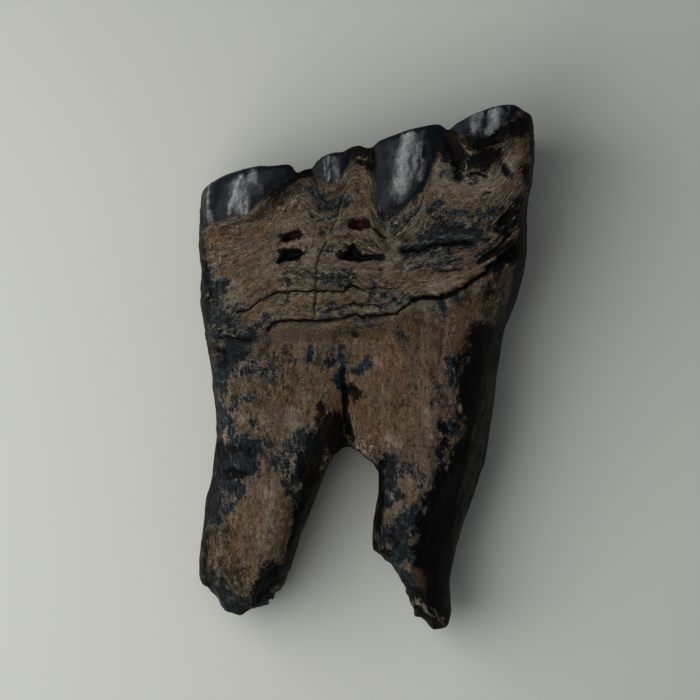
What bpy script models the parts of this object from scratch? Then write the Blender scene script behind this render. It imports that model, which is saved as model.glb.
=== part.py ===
"""A horse's cheek tooth turned to fossil, lying on its outer side with its flat inner side up.

Units in the tables are millimetres. X runs across the tooth, Y from the broken roots to the
chewing end, and Z up from the table. The origin is on the table, under the middle of the tooth.
The body is one loft: two half tubes that share the crown and part into two roots at the fork.
"""

import bpy
import bmesh
import numpy as np
from mathutils import Vector
from mathutils.bvhtree import BVHTree

MM = 0.001

# Driving dimensions
CROWN_THICKNESS = 16.5
FORK_Y = -6.95          # where the roots part
FORK_X = -1.7
ROOT_ROUNDING_LENGTH = 5.0    # how far below the fork a root becomes a full oval
RIM_START_Y = 18.0      # first guesses at the heights of the rim and the root ends
END_START_Y = -20.0
WELD = 0.001            # points of neighbouring sheets this close are one point
SHARP_ANGLE = 0.6       # radians: edges that turn more than this are shaded as corners

# Faces across half the front, round a side, and along the cement, the waist and a root
FRONT_STEPS = 14
SIDE_STEPS = 7
CEMENT_ROWS = (0.0, 0.08, 0.17, 0.255, 0.295, 0.38, 0.47, 0.555, 0.595, 0.68, 0.77, 0.87, 0.97, 1.0)
WAIST_ROWS = 12
ROOT_ROWS = 21
FORK_CROWDING = 2.0     # how much closer the rows lie near the fork

# Outlines seen from above, as (y, x) from the roots to the crown
LEFT_EDGE = (
    (-23.0, -14.83), (-18.0, -14.83), (-14.8, -14.6), (-11.7, -14.2), (-9.6, -13.7), (-7.4, -13.4),
    (-5.3, -13.3), (-2.2, -13.6), (1.0, -14.0), (3.1, -14.3), (5.3, -14.6), (9.5, -14.8),
    (13.7, -14.75), (17.0, -14.5),
)
RIGHT_EDGE = (
    (-24.0, 6.9), (-22.4, 7.35), (-18.7, 7.4), (-16.6, 7.75), (-14.5, 8.4), (-12.4, 9.1),
    (-10.3, 9.8), (-8.2, 10.5), (-6.0, 10.9), (-2.9, 11.3), (-0.8, 11.5), (1.4, 11.8),
    (3.5, 12.3), (5.6, 13.2), (7.7, 13.75), (9.8, 14.1), (14.1, 14.2), (17.2, 14.73), (22.5, 14.76),
)
LEFT_INNER_EDGE = (
    (-23.0, -8.3), (-18.9, -7.25), (-16.9, -6.65), (-15.75, -6.3), (-14.3, -5.75), (-12.8, -5.1),
    (-11.4, -4.6), (-9.9, -4.0), (-8.6, -3.45), (-7.8, -3.0), (-7.25, -2.4), (FORK_Y, FORK_X),
)
RIGHT_INNER_EDGE = (
    (-24.0, 0.7), (-16.0, 0.75), (-14.3, 0.8), (-12.8, 0.95), (-11.4, 1.1), (-9.9, 1.15),
    (-9.2, 1.1), (-8.8, 0.9), (-8.2, 0.35), (-7.6, -0.35), (-7.1, -1.1), (FORK_Y, FORK_X),
)
SEAM = ((FORK_Y, FORK_X), (0.0, -1.7), (10.0, -0.9), (24.0, 0.2))

# The chewing rim on the front and on the back, as (x, y)
FRONT_RIM = (
    (-14.6, 15.5), (-13.5, 16.2), (-12.6, 16.7), (-10.9, 17.4), (-9.1, 17.8), (-6.7, 17.9),
    (-6.3, 17.1), (-5.6, 17.4), (-4.6, 17.5), (-4.4, 18.1), (-3.4, 18.9), (-2.0, 19.2),
    (-1.2, 19.6), (0.4, 19.3), (0.8, 19.9), (1.9, 20.5), (3.7, 21.1), (5.5, 21.6), (6.6, 21.4),
    (7.0, 21.0), (7.5, 21.4), (9.0, 22.4), (10.8, 23.0), (12.5, 23.35), (13.3, 23.0),
    (13.5, 22.4), (14.8, 22.2),
)
BACK_RIM = ((-14.6, 15.0), (-8.0, 15.9), (-1.0, 16.9), (7.0, 19.6), (14.8, 20.6))

# The broken root ends: where the front face stops, and how far the break reaches lower down
LEFT_END_FRONT = (
    (-15.0, -18.1), (-13.6, -17.6), (-12.9, -18.1), (-12.4, -18.9), (-11.7, -19.9), (-10.1, -20.5),
    (-9.7, -19.2), (-9.0, -18.1), (-7.9, -17.3), (-6.5, -16.9),
)
LEFT_END_REACH = (
    (-15.0, -18.5), (-14.5, -19.1), (-13.6, -20.2), (-12.6, -21.6), (-11.3, -22.1), (-10.7, -21.8),
    (-9.7, -21.4), (-8.6, -20.6), (-7.4, -19.6), (-6.9, -17.9), (-6.4, -16.9),
)
RIGHT_END_FRONT = (
    (0.6, -16.0), (1.5, -16.6), (2.6, -17.6), (3.9, -18.0), (4.8, -19.0), (5.6, -20.6), (6.6, -21.8),
    (7.5, -22.4),
)
RIGHT_END_REACH = (
    (0.6, -16.0), (1.3, -16.5), (2.1, -17.3), (3.1, -19.0), (3.6, -20.4), (4.3, -22.1),
    (4.9, -22.1), (5.9, -23.35), (6.5, -23.1), (7.5, -22.6),
)
BREAK_SHOULDER = (7.5, 12.0)  # the heights between which a break slopes from its reach to the front

# Heights along the tooth, as (y, z)
FRONT_CREST = (
    (-24.0, 10.6), (-19.0, 11.7), (-14.0, 13.0), (-8.0, 14.3), (-3.0, 15.2), (3.0, 15.9),
    (8.0, 16.2), (14.0, 15.9), (24.0, 14.9),
)
BACK_CREST = (
    (-24.0, 3.6), (-19.0, 2.3), (-14.0, 1.0), (-8.0, -0.3), (-3.0, -0.7), (3.0, -0.75),
    (10.0, -0.7), (17.0, -0.35), (24.0, 0.4),
)
LEFT_LEAN = ((-24.0, 0.3), (24.0, 0.3))    # how far the side slopes out from the front face, as (y, x)
RIGHT_LEAN = (
    (-24.0, 1.2), (-18.0, 1.9), (-13.0, 2.6), (-8.0, 2.3), (-3.0, 2.1), (2.0, 2.2), (6.0, 1.4),
    (11.0, 0.7), (24.0, 0.2),
)
FRONT_SQUARENESS = ((-24.0, 2.8), (-10.0, 3.4), (0.0, 5.0), (24.0, 7.0))
BACK_SQUARENESS = 3.1
BACK_GROOVE_DEPTH = 3.6
BACK_GROOVE_WIDTH = 3.4
FRONT_GROOVE_DEPTH = 1.1
FRONT_GROOVE_WIDTH = 1.3
FRONT_GROOVE_START = (3.5, -4.0)      # the heights between which the groove deepens towards the fork
FRONT_VALLEY_DEPTH = 0.9
FRONT_VALLEY_WIDTH = 4.5
FRONT_VALLEY_START = (6.0, -7.0)
LUMP_HEIGHT = 0.22

# The layers of cement on the crown
MAIN_CRACK = (
    (-14.8, 3.2), (-11.0, 3.3), (-8.5, 3.7), (-7.5, 4.0), (-4.5, 4.1), (-2.7, 4.4), (1.6, 4.45),
    (2.7, 4.8), (3.8, 5.9), (6.6, 6.05), (8.7, 7.1), (10.9, 8.5), (12.7, 10.3), (14.6, 12.6),
)
UPPER_CRACK = ((-11.3, 4.8), (-7.5, 6.65), (-4.5, 6.65), (-2.7, 6.55), (-0.8, 6.9), (2.7, 6.9))
CRACK_RADIUS = 0.3
CRACK_END_SHARE = 0.4          # how thin a crack's ends are, against its middle
LAYER_STEP = 0.3
LAYER_EDGES = (0.275, 0.575)   # where a layer ends, as a share of the way from the rim to the crack
LAYER_EDGE_WIDTH = 0.02

# The glassy enamel lobes at the rim, as (centre x, half width, length, bulge)
ENAMEL_LOBES = ((-10.6, 4.3, 4.4, 0.55), (-3.1, 1.6, 3.0, 0.5), (3.6, 2.9, 8.6, 0.75), (10.2, 3.2, 4.2, 0.7))

# Pits in the cement, as (x, y, half width, half height)
PITS = ((-6.6, 11.7, 1.25, 0.5), (-0.7, 12.7, 1.2, 0.45), (-6.7, 9.8, 1.2, 0.5), (-0.6, 10.1, 1.7, 0.65))
PIT_DEPTH = 0.55
PIT_SEGMENTS = (12, 7)

# The chewing surface: basins of softer dentine between ridges of enamel, as (x, z, half length, half width)
BASINS = ((-9.6, 4.6, 3.6, 2.2), (6.9, 4.6, 4.4, 2.2), (-5.6, 10.9, 4.4, 1.7), (4.6, 11.2, 4.6, 1.6))
BASIN_DEPTH = 1.0
STAINED_BROWN = (0.105, 0.072, 0.052, 1)

# Columns round half the tooth: across the front, down the outer side, and back across the back
ACROSS = np.concatenate([
    np.linspace(0, 1, FRONT_STEPS + 1), np.ones(SIDE_STEPS - 1), np.linspace(1, 0, FRONT_STEPS + 1),
])
DOWN = np.concatenate([
    np.ones(FRONT_STEPS), np.linspace(1, -1, SIDE_STEPS + 1), -np.ones(FRONT_STEPS),
])
ON_SIDE = np.abs(DOWN) < 1

# Shares of the half height between which something belongs more and more to the front, the back or the rim
FRONT_SHARES = (0.0, 0.65)
BACK_SHARES = (0.0, -0.6)
RIM_SHARES = (-0.6, 0.75)


def curve(points, at):
    """Smooth curve through (place, value) points: a cubic between each pair, level with its neighbours."""
    place, value = np.array(sorted(points)).T
    slope = np.gradient(value, place)
    at = np.clip(at, place[0], place[-1])
    i = np.clip(np.searchsorted(place, at) - 1, 0, len(place) - 2)
    step = place[i + 1] - place[i]
    s = (at - place[i]) / step
    ends = (1 + 2 * s) * (1 - s) ** 2 * value[i] + s * s * (3 - 2 * s) * value[i + 1]
    return ends + step * s * (1 - s) * ((1 - s) * slope[i] - s * slope[i + 1])


def arch(points, at):
    """An edge that springs level from the fork: smooth in the square root of the depth below it."""
    by_root = [((FORK_Y - place) ** 0.5, value) for place, value in points]
    return curve(by_root, np.sqrt(np.maximum(FORK_Y - at, 0)))


def line(points, at):
    """Straight stretches through (place, value) points, for edges that are broken or chipped."""
    place, value = np.array(sorted(points)).T
    return np.interp(at, place, value)


def ramp(value, low, high):
    """0 at low and before it, 1 at high and past it, and a smooth rise between them."""
    s = np.clip((value - low) / (high - low), 0, 1)
    return s * s * (3 - 2 * s)


def oval(width, power):
    """The height of a squared oval at a share of its half width, or the other way round."""
    return (1 - np.abs(width) ** power) ** (1 / power)


class Half:
    """One half of the tooth: half of the crown, and the root below it."""

    def __init__(self, outer_edge, inner_edge, end_front, end_reach, lean):
        self.outer_edge = outer_edge
        self.inner_edge = inner_edge
        self.end_front = end_front
        self.end_reach = end_reach
        self.lean = lean

    def inner(self, y):
        """The seam down the middle of the crown, and below the fork the root's own inner edge."""
        return np.where(y > FORK_Y, curve(SEAM, y), arch(self.inner_edge, y))

    def shares(self, y, root):
        """Every column's place in the section, as shares of the half width and half height."""
        power = np.where(DOWN > 0, curve(FRONT_SQUARENESS, y), BACK_SQUARENESS)
        corner = 0.5 ** (1 / power)
        across = corner * (ACROSS * (1 + root) - root)
        high = np.where(ON_SIDE, corner * DOWN, np.sign(DOWN) * oval(across, power))
        return np.where(ON_SIDE, oval(corner * DOWN, power), across), high

    def place(self, y):
        """x, z and the share of the height for every column at the heights y along the tooth."""
        root = ramp(FORK_Y - y, 0, ROOT_ROUNDING_LENGTH)
        inner, outer = self.inner(y), curve(self.outer_edge, y)
        half_wide, half_high = self.shares(y, 0)
        full_wide, full_high = self.shares(y, 1)
        half_x = inner + (outer - inner) * half_wide
        full_x = (inner + outer) / 2 + (outer - inner) / 2 * full_wide
        x = half_x + (full_x - half_x) * root
        high = half_high + (full_high - half_high) * root
        outward = np.clip((x - inner) / (outer - inner), 0, 1)
        x = x - np.sign(outer - inner) * curve(self.lean, y) * ramp(high, 0, 1) * outward
        top, bottom = curve(FRONT_CREST, y), curve(BACK_CREST, y)
        z = (top + bottom) / 2 + (top - bottom) / 2 * high
        return x, z + grooves(x, y, high), high

    def settle(self, start, target):
        """The row whose height is target(x, z, high), found by putting each answer back in."""
        y = np.full(len(DOWN), start)
        for _ in range(4):
            y = target(*self.place(y))
        return y

    def sheet(self):
        """The outer surface as a grid: rows from the rim to the root's end, columns round the outside."""
        rim = self.settle(RIM_START_Y, chewing_rim)
        crack = self.settle(MAIN_CRACK[0][1], lambda x, z, high: curve(MAIN_CRACK, x))
        end = self.settle(END_START_Y, lambda x, z, high: self.break_at(x, z))
        cement = np.array(CEMENT_ROWS)[:, None]
        waist = np.linspace(0, 1, WAIST_ROWS + 1)[1:, None]
        even = np.linspace(0, 1, ROOT_ROWS + 1)[1:, None]
        root = even + (even ** FORK_CROWDING - even) * (1 - ACROSS)
        y = np.concatenate([
            rim + (crack - rim) * cement,
            crack + (FORK_Y - crack) * waist,
            FORK_Y + (end - FORK_Y) * root,
        ])
        layer = np.ones_like(y)
        layer[: len(cement)] = cement
        x, z, high = self.place(y)
        z = z + cement_relief(x, y, layer, high) + lumps(x, y, z)
        return np.stack([x, y, z], axis=-1)

    def inner_sheet(self, sheet):
        """The root's inner side as a grid, from the fork to the end, between the outer sheet's edges."""
        front, back = sheet[-ROOT_ROWS - 1:, :1], sheet[-ROOT_ROWS - 1:, -1:]
        down = np.linspace(1, -1, SIDE_STEPS + 1)
        points = (front + back) / 2 + (front - back) / 2 * down[:, None]
        y = points[..., 1]
        power = np.where(down > 0, curve(FRONT_SQUARENESS, y), BACK_SQUARENESS)
        inner, outer = arch(self.inner_edge, y), curve(self.outer_edge, y)
        bulge = oval(0.5 ** (1 / power) * down, power) - oval(0.5 ** (1 / power), power)
        root = ramp(FORK_Y - y, 0, ROOT_ROUNDING_LENGTH)
        points[..., 0] -= (outer - inner) / 2 * bulge * root
        return points

    def break_at(self, x, z):
        """Where the root ends at a place in its section: the break slopes from its reach to the front."""
        reach = line(self.end_reach, x)
        return reach + (line(self.end_front, x) - reach) * ramp(z, *BREAK_SHOULDER)

    def end_cap(self, sheet, inner_sheet):
        """The broken face that closes the root."""
        last = sheet[-1]
        outer_side = last[FRONT_STEPS:FRONT_STEPS + SIDE_STEPS + 1]
        cap = patch(last[:FRONT_STEPS + 1], last[:-FRONT_STEPS - 2:-1], inner_sheet[-1], outer_side)
        middle = cap[1:-1, 1:-1]
        middle[..., 1] = self.break_at(middle[..., 0], middle[..., 2])
        return cap


def grooves(x, y, high):
    """What the middle of the front sinks by, and how far the groove on the back cuts in."""
    away = x - curve(SEAM, y)
    front = FRONT_GROOVE_DEPTH * np.exp(-(away / FRONT_GROOVE_WIDTH) ** 2) * ramp(y, *FRONT_GROOVE_START)
    valley = FRONT_VALLEY_DEPTH * np.exp(-(away / FRONT_VALLEY_WIDTH) ** 2) * ramp(y, *FRONT_VALLEY_START)
    back = BACK_GROOVE_DEPTH * np.exp(-(away / BACK_GROOVE_WIDTH) ** 2)
    return back * ramp(high, *BACK_SHARES) - (front + valley) * ramp(high, *FRONT_SHARES)


def chewing_rim(x, z, high):
    """How far the rim stands at a place in the section: more at the front than at the back."""
    back = curve(BACK_RIM, x)
    return back + (line(FRONT_RIM, x) - back) * ramp(high, *RIM_SHARES)


def cement_relief(x, y, layer, high):
    """Layers of cement that step down towards the rim, and the enamel lobes that swell there."""
    steps = sum(ramp(layer, edge - LAYER_EDGE_WIDTH, edge + LAYER_EDGE_WIDTH) for edge in LAYER_EDGES)
    rise = LAYER_STEP * (steps - len(LAYER_EDGES))
    for centre, half_width, length, bulge in ENAMEL_LOBES:
        down = line(FRONT_RIM, x) - y
        reach = 1 - ((x - centre) / half_width) ** 2 - (down / length) ** 2
        rise = rise + bulge * np.sqrt(np.clip(reach, 0, 1))
    return rise * ramp(high, *FRONT_SHARES)


def lumps(x, y, z):
    """Low swellings, a few millimetres across, that keep the sides from being plain curves."""
    slow = np.sin(0.55 * x + 0.8 * np.sin(0.31 * y)) * np.sin(0.43 * y + 1.3 + 0.4 * z)
    quick = np.sin(1.3 * x + 0.9 * z + 0.7) * np.sin(1.05 * y + 0.6 * np.sin(0.8 * x))
    return LUMP_HEIGHT * (0.7 * slow + 0.3 * quick)


def patch(front, back, left, right):
    """A surface stretched between four edges that meet at their ends."""
    u = np.linspace(0, 1, len(front))[:, None, None]
    w = np.linspace(0, 1, len(left))[None, :, None]
    across = (1 - w) * front[:, None] + w * back[:, None]
    down = (1 - u) * left[None] + u * right[None]
    near = (1 - u) * front[0] + u * front[-1]
    far = (1 - u) * back[0] + u * back[-1]
    return across + down - (1 - w) * near - w * far


def chewing_cap(left, right):
    """The worn chewing surface between the rims: ridges of enamel round basins of softer dentine."""
    corner = FRONT_STEPS + SIDE_STEPS
    front = np.concatenate([left[FRONT_STEPS::-1], right[1:FRONT_STEPS + 1]])
    back = np.concatenate([left[corner:], right[-2:corner - 1:-1]])
    cap = patch(front, back, left[FRONT_STEPS:corner + 1], right[FRONT_STEPS:corner + 1])
    middle = cap[1:-1, 1:-1]
    for x, z, half_length, half_width in BASINS:
        reach = 1 - ((middle[..., 0] - x) / half_length) ** 2 - ((middle[..., 2] - z) / half_width) ** 2
        middle[..., 1] -= BASIN_DEPTH * np.clip(reach, 0, 1)
    return cap


def add_sheet(bm, points):
    """Adds a grid of points to the mesh, with a face between each four, none below the table."""
    points = points.copy()
    points[..., 2] = np.maximum(points[..., 2], 0)
    rows, columns = points.shape[:2]
    verts = [bm.verts.new(point) for point in points.reshape(-1, 3) * MM]
    for i in range(rows - 1):
        for j in range(columns - 1):
            a = i * columns + j
            bm.faces.new((verts[a], verts[a + 1], verts[a + columns + 1], verts[a + columns]))


def tooth_body():
    """The whole loft as one closed object, and a tree that finds points on its surface."""
    left = Half(LEFT_EDGE, LEFT_INNER_EDGE, LEFT_END_FRONT, LEFT_END_REACH, LEFT_LEAN)
    right = Half(RIGHT_EDGE, RIGHT_INNER_EDGE, RIGHT_END_FRONT, RIGHT_END_REACH, RIGHT_LEAN)
    bm = bmesh.new()
    outer = {}
    for half in (left, right):
        outer[half] = half.sheet()
        inner = half.inner_sheet(outer[half])
        for points in (outer[half], inner, half.end_cap(outer[half], inner)):
            add_sheet(bm, points)
    add_sheet(bm, chewing_cap(outer[left][0], outer[right][0]))
    bmesh.ops.remove_doubles(bm, verts=bm.verts, dist=WELD * MM)
    bmesh.ops.recalc_face_normals(bm, faces=bm.faces)
    tree = BVHTree.FromBMesh(bm)
    mesh = bpy.data.meshes.new("fossil_tooth")
    bm.to_mesh(mesh)
    bm.free()
    return bpy.data.objects.new("fossil_tooth", mesh), tree


def draped(tree, x, y):
    """The point of the front surface below a place seen from above, in metres."""
    hit = tree.ray_cast(Vector((x * MM, y * MM, 2 * CROWN_THICKNESS * MM)), Vector((0, 0, -1)))
    return hit[0]


def crack_cutter(name, points, tree, cutters):
    """A thin square tube that lies half sunk in the front along a crack, and tapers at both ends."""
    line_data = bpy.data.curves.new(name, "CURVE")
    line_data.dimensions = "3D"
    line_data.bevel_depth = CRACK_RADIUS * MM
    line_data.bevel_resolution = 0
    line_data.use_fill_caps = True
    spline = line_data.splines.new("POLY")
    spline.points.add(len(points) - 1)
    for i, (x, y) in enumerate(points):
        spline.points[i].co = (*draped(tree, x, y), 1)
        spline.points[i].radius = CRACK_END_SHARE if i in (0, len(points) - 1) else 1
    tube = bpy.data.objects.new(name + "_line", line_data)
    cutters.objects.link(tube)
    graph = bpy.context.evaluated_depsgraph_get()
    mesh = bpy.data.meshes.new_from_object(tube.evaluated_get(graph))
    bpy.data.objects.remove(tube)
    bm = bmesh.new()
    bm.from_mesh(mesh)
    bmesh.ops.remove_doubles(bm, verts=bm.verts, dist=WELD * MM)
    bmesh.ops.recalc_face_normals(bm, faces=bm.faces)
    bm.to_mesh(mesh)
    bm.free()
    return add_cutter(bpy.data.objects.new(name, mesh), cutters)


def pit_cutter(name, x, y, half_width, half_height, tree, cutters):
    """A lens that scoops one pit out of the front."""
    mesh = bpy.data.meshes.new(name)
    bm = bmesh.new()
    bmesh.ops.create_uvsphere(bm, u_segments=PIT_SEGMENTS[0], v_segments=PIT_SEGMENTS[1], radius=MM)
    bmesh.ops.scale(bm, vec=(half_width, half_height, PIT_DEPTH), verts=bm.verts)
    bmesh.ops.translate(bm, vec=draped(tree, x, y), verts=bm.verts)
    bm.to_mesh(mesh)
    bm.free()
    return add_cutter(bpy.data.objects.new(name, mesh), cutters)


def add_cutter(cutter, cutters):
    """Links a cutter, shown as wires and left out of renders."""
    cutter.hide_render = True
    cutter.display_type = "WIRE"
    cutters.objects.link(cutter)
    return cutter


def fossil_material():
    """Brown, mineral-stained tooth: a dull cement with a slight polish."""
    material = bpy.data.materials.new("mineral_stained_tooth")
    material.use_nodes = True
    shader = material.node_tree.nodes["Principled BSDF"]
    shader.inputs["Base Color"].default_value = STAINED_BROWN
    shader.inputs["Roughness"].default_value = 0.55
    shader.inputs["Metallic"].default_value = 0.0
    return material


def main():
    for old in list(bpy.data.objects):
        bpy.data.objects.remove(old)
    parts = bpy.data.collections.new("fossil horse tooth")
    cutters = bpy.data.collections.new("cracks and pits")
    for collection in (parts, cutters):
        bpy.context.scene.collection.children.link(collection)

    tooth, tree = tooth_body()
    parts.objects.link(tooth)
    tooth.data.materials.append(fossil_material())
    crack_cutter("main_crack", MAIN_CRACK[1:-1], tree, cutters)
    crack_cutter("upper_crack", UPPER_CRACK, tree, cutters)
    for number, (x, y, half_width, half_height) in enumerate(PITS, 1):
        pit_cutter(f"pit_{number}", x, y, half_width, half_height, tree, cutters)
    cut = tooth.modifiers.new("cracks and pits", "BOOLEAN")
    cut.operand_type = "COLLECTION"
    cut.collection = cutters
    cut.operation = "DIFFERENCE"
    cut.solver = "EXACT"
    graph = bpy.context.evaluated_depsgraph_get()
    finished = bpy.data.meshes.new_from_object(tooth.evaluated_get(graph))
    tooth.modifiers.clear()
    tooth.data = finished
    finished.name = "fossil_tooth"
    finished.shade_smooth()
    finished.set_sharp_from_angle(angle=SHARP_ANGLE)


main()
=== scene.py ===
# %% [markdown]
# # A fossil horse tooth
# This lesson builds one cheek tooth of a fossil horse. It lies on its outer side with its flat inner
# side up. Two broken roots point at the reader and the worn chewing end points away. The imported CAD
# solid already has the true size and the main shape. Here the same loft is worked out again with much
# finer steps, so that layers, cracks, pits and chips can be real relief and not only paint.

# %% Load the frame
import bpy
import bmesh
import numpy as np
from typing import NamedTuple
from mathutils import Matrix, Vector


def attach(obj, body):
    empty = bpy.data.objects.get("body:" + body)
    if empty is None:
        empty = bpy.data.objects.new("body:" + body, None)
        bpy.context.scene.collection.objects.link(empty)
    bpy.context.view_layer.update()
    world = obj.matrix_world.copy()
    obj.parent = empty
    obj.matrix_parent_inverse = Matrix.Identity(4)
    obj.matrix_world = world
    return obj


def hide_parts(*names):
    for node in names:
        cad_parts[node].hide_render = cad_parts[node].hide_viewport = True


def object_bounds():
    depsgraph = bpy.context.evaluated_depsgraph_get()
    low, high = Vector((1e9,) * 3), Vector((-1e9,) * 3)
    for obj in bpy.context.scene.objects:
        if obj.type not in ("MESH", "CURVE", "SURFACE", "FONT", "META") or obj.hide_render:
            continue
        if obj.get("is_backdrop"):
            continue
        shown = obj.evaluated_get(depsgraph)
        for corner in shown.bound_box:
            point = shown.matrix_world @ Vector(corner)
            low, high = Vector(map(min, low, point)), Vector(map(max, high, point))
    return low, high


MM = 0.001
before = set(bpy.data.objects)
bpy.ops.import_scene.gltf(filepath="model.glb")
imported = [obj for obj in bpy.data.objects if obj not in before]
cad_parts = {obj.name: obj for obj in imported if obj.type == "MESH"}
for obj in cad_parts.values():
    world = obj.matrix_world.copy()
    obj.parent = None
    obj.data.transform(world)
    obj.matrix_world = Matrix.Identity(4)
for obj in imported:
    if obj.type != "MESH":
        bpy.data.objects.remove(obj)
cad_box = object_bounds()
print("CAD box in mm:", [[round(value / MM, 2) for value in corner] for corner in cad_box])

# %% [markdown]
# ## Curves and ramps
# A natural outline has no formula, so it is a list of places read off the photo, with a smooth curve
# through them. Broken edges keep straight stretches. All sizes below are millimetres.
# X runs across the tooth, Y from the roots to the chewing end, and Z up from the table.

# %% Helpers for outlines


def curve(points, at):
    """Smooth curve through (place, value) points: a cubic between each pair, sloped like its neighbours."""
    place, value = np.array(sorted(points)).T
    slope = np.gradient(value, place)
    at = np.clip(at, place[0], place[-1])
    i = np.clip(np.searchsorted(place, at) - 1, 0, len(place) - 2)
    step = place[i + 1] - place[i]
    s = (at - place[i]) / step
    ends = (1 + 2 * s) * (1 - s) ** 2 * value[i] + s * s * (3 - 2 * s) * value[i + 1]
    return ends + step * s * (1 - s) * ((1 - s) * slope[i] - s * slope[i + 1])


def line(points, at):
    """Straight stretches through (place, value) points, for edges that are broken or chipped."""
    place, value = np.array(sorted(points)).T
    return np.interp(at, place, value)


def ramp(value, low, high):
    """0 at low and before it, 1 at high and past it, and a smooth rise between them."""
    s = np.clip((value - low) / (high - low), 0, 1)
    return s * s * (3 - 2 * s)


def bell(distance, width):
    """1 in the middle, falling off smoothly on both sides, and under a fiftieth at twice the width."""
    return np.exp(-(distance / width) ** 2)


def oval(width, power):
    """The height of a squared oval at a share of its half width, or the other way round."""
    return (1 - np.abs(width) ** power) ** (1 / power)


# %% [markdown]
# ## The outline of the tooth
# These tables say how wide the tooth is at each height, where the roots part, and how its front and
# back rise and fall along it. They are the same as in the CAD model, which keeps this fine
# surface within about a fifth of a millimetre of the CAD box.

# %% Outline tables
FORK_Y = -6.95               # where the roots part
FORK_X = -1.7
ROOT_ROUNDING_LENGTH = 5.0   # how far below the fork a root becomes a full oval

# Outlines seen from above, as (y, x) from the roots to the crown
LEFT_EDGE = (
    (-23.0, -14.83), (-18.0, -14.83), (-14.8, -14.6), (-11.7, -14.2), (-9.6, -13.7), (-7.4, -13.4),
    (-5.3, -13.3), (-2.2, -13.6), (1.0, -14.0), (3.1, -14.3), (5.3, -14.6), (9.5, -14.8),
    (13.7, -14.75), (17.0, -14.5),
)
RIGHT_EDGE = (
    (-24.0, 6.9), (-22.4, 7.35), (-18.7, 7.4), (-16.6, 7.75), (-14.5, 8.4), (-12.4, 9.1),
    (-10.3, 9.8), (-8.2, 10.5), (-6.0, 10.9), (-2.9, 11.3), (-0.8, 11.5), (1.4, 11.8),
    (3.5, 12.3), (5.6, 13.2), (7.7, 13.75), (9.8, 14.1), (14.1, 14.2), (17.2, 14.73), (22.5, 14.76),
)
LEFT_INNER_EDGE = (
    (-23.0, -8.3), (-18.9, -7.25), (-16.9, -6.65), (-15.75, -6.3), (-14.3, -5.75), (-12.8, -5.1),
    (-11.4, -4.6), (-9.9, -4.0), (-8.6, -3.45), (-7.8, -3.0), (-7.25, -2.4), (FORK_Y, FORK_X),
)
RIGHT_INNER_EDGE = (
    (-24.0, 0.7), (-16.0, 0.75), (-14.3, 0.8), (-12.8, 0.95), (-11.4, 1.1), (-9.9, 1.15),
    (-9.2, 1.1), (-8.8, 0.9), (-8.2, 0.35), (-7.6, -0.35), (-7.1, -1.1), (FORK_Y, FORK_X),
)
SEAM = ((FORK_Y, FORK_X), (0.0, -1.7), (10.0, -0.9), (24.0, 0.2))

# Heights along the tooth, as (y, z)
FRONT_CREST = (
    (-24.0, 10.6), (-19.0, 11.7), (-14.0, 13.0), (-8.0, 14.3), (-3.0, 15.2), (3.0, 15.9),
    (8.0, 16.2), (14.0, 15.9), (24.0, 14.9),
)
BACK_CREST = (
    (-24.0, 3.6), (-19.0, 2.3), (-14.0, 1.0), (-8.0, -0.3), (-3.0, -0.7), (3.0, -0.75),
    (10.0, -0.7), (17.0, -0.35), (24.0, 0.4),
)
LEFT_LEAN = ((-24.0, 0.3), (24.0, 0.3))    # how far the side slopes out from the front face
RIGHT_LEAN = (
    (-24.0, 1.2), (-18.0, 1.9), (-13.0, 2.6), (-8.0, 2.3), (-3.0, 2.1), (2.0, 2.2), (6.0, 1.4),
    (11.0, 0.7), (24.0, 0.2),
)
FRONT_SQUARENESS = ((-24.0, 2.8), (-10.0, 3.4), (0.0, 5.0), (24.0, 7.0))
BACK_SQUARENESS = 3.1
print("outline tables:", len(LEFT_EDGE) + len(RIGHT_EDGE), "points down the two sides")

# %% [markdown]
# ## The rim and the broken ends
# The chewing rim is a row of worn enamel lobes with notches between them, and the root ends are
# breaks. A break is not a flat cut: it slopes from the front surface down to a longer
# underside, so both edges are measured. The rim has more points than in the CAD model, because this
# grid is fine enough to show its small notches.

# %% Rim and break tables
# The chewing rim on the front and on the back, as (x, y)
FRONT_RIM = (
    (-14.6, 15.6), (-14.3, 15.9), (-13.8, 16.05), (-13.0, 16.45), (-12.1, 17.0), (-11.2, 17.35),
    (-10.3, 17.6), (-9.4, 17.8), (-8.6, 17.75), (-7.7, 17.75), (-7.0, 17.9), (-6.5, 17.8),
    (-6.3, 17.1), (-6.05, 17.0), (-5.5, 17.4), (-4.7, 17.5), (-4.45, 17.9), (-4.2, 18.3), (-3.7, 18.7),
    (-2.8, 19.05), (-2.1, 19.0), (-1.8, 19.25), (-1.3, 19.5), (-0.5, 19.6), (-0.1, 19.25),
    (0.3, 19.4), (0.5, 19.3), (0.75, 19.8), (1.1, 20.1), (2.0, 20.55), (2.9, 20.9), (3.8, 21.15),
    (4.7, 21.35), (5.6, 21.5), (6.4, 21.5), (6.7, 21.3), (6.85, 20.95), (7.2, 20.95), (7.5, 21.4),
    (8.2, 21.85), (9.1, 22.4), (10.0, 22.75), (10.8, 23.05), (11.7, 23.25), (12.6, 23.3),
    (13.2, 23.15), (13.45, 22.85), (13.55, 22.4), (14.1, 22.45), (14.6, 22.2),
)
BACK_RIM = ((-14.6, 15.0), (-8.0, 15.9), (-1.0, 16.9), (7.0, 19.6), (14.8, 20.6))

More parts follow.
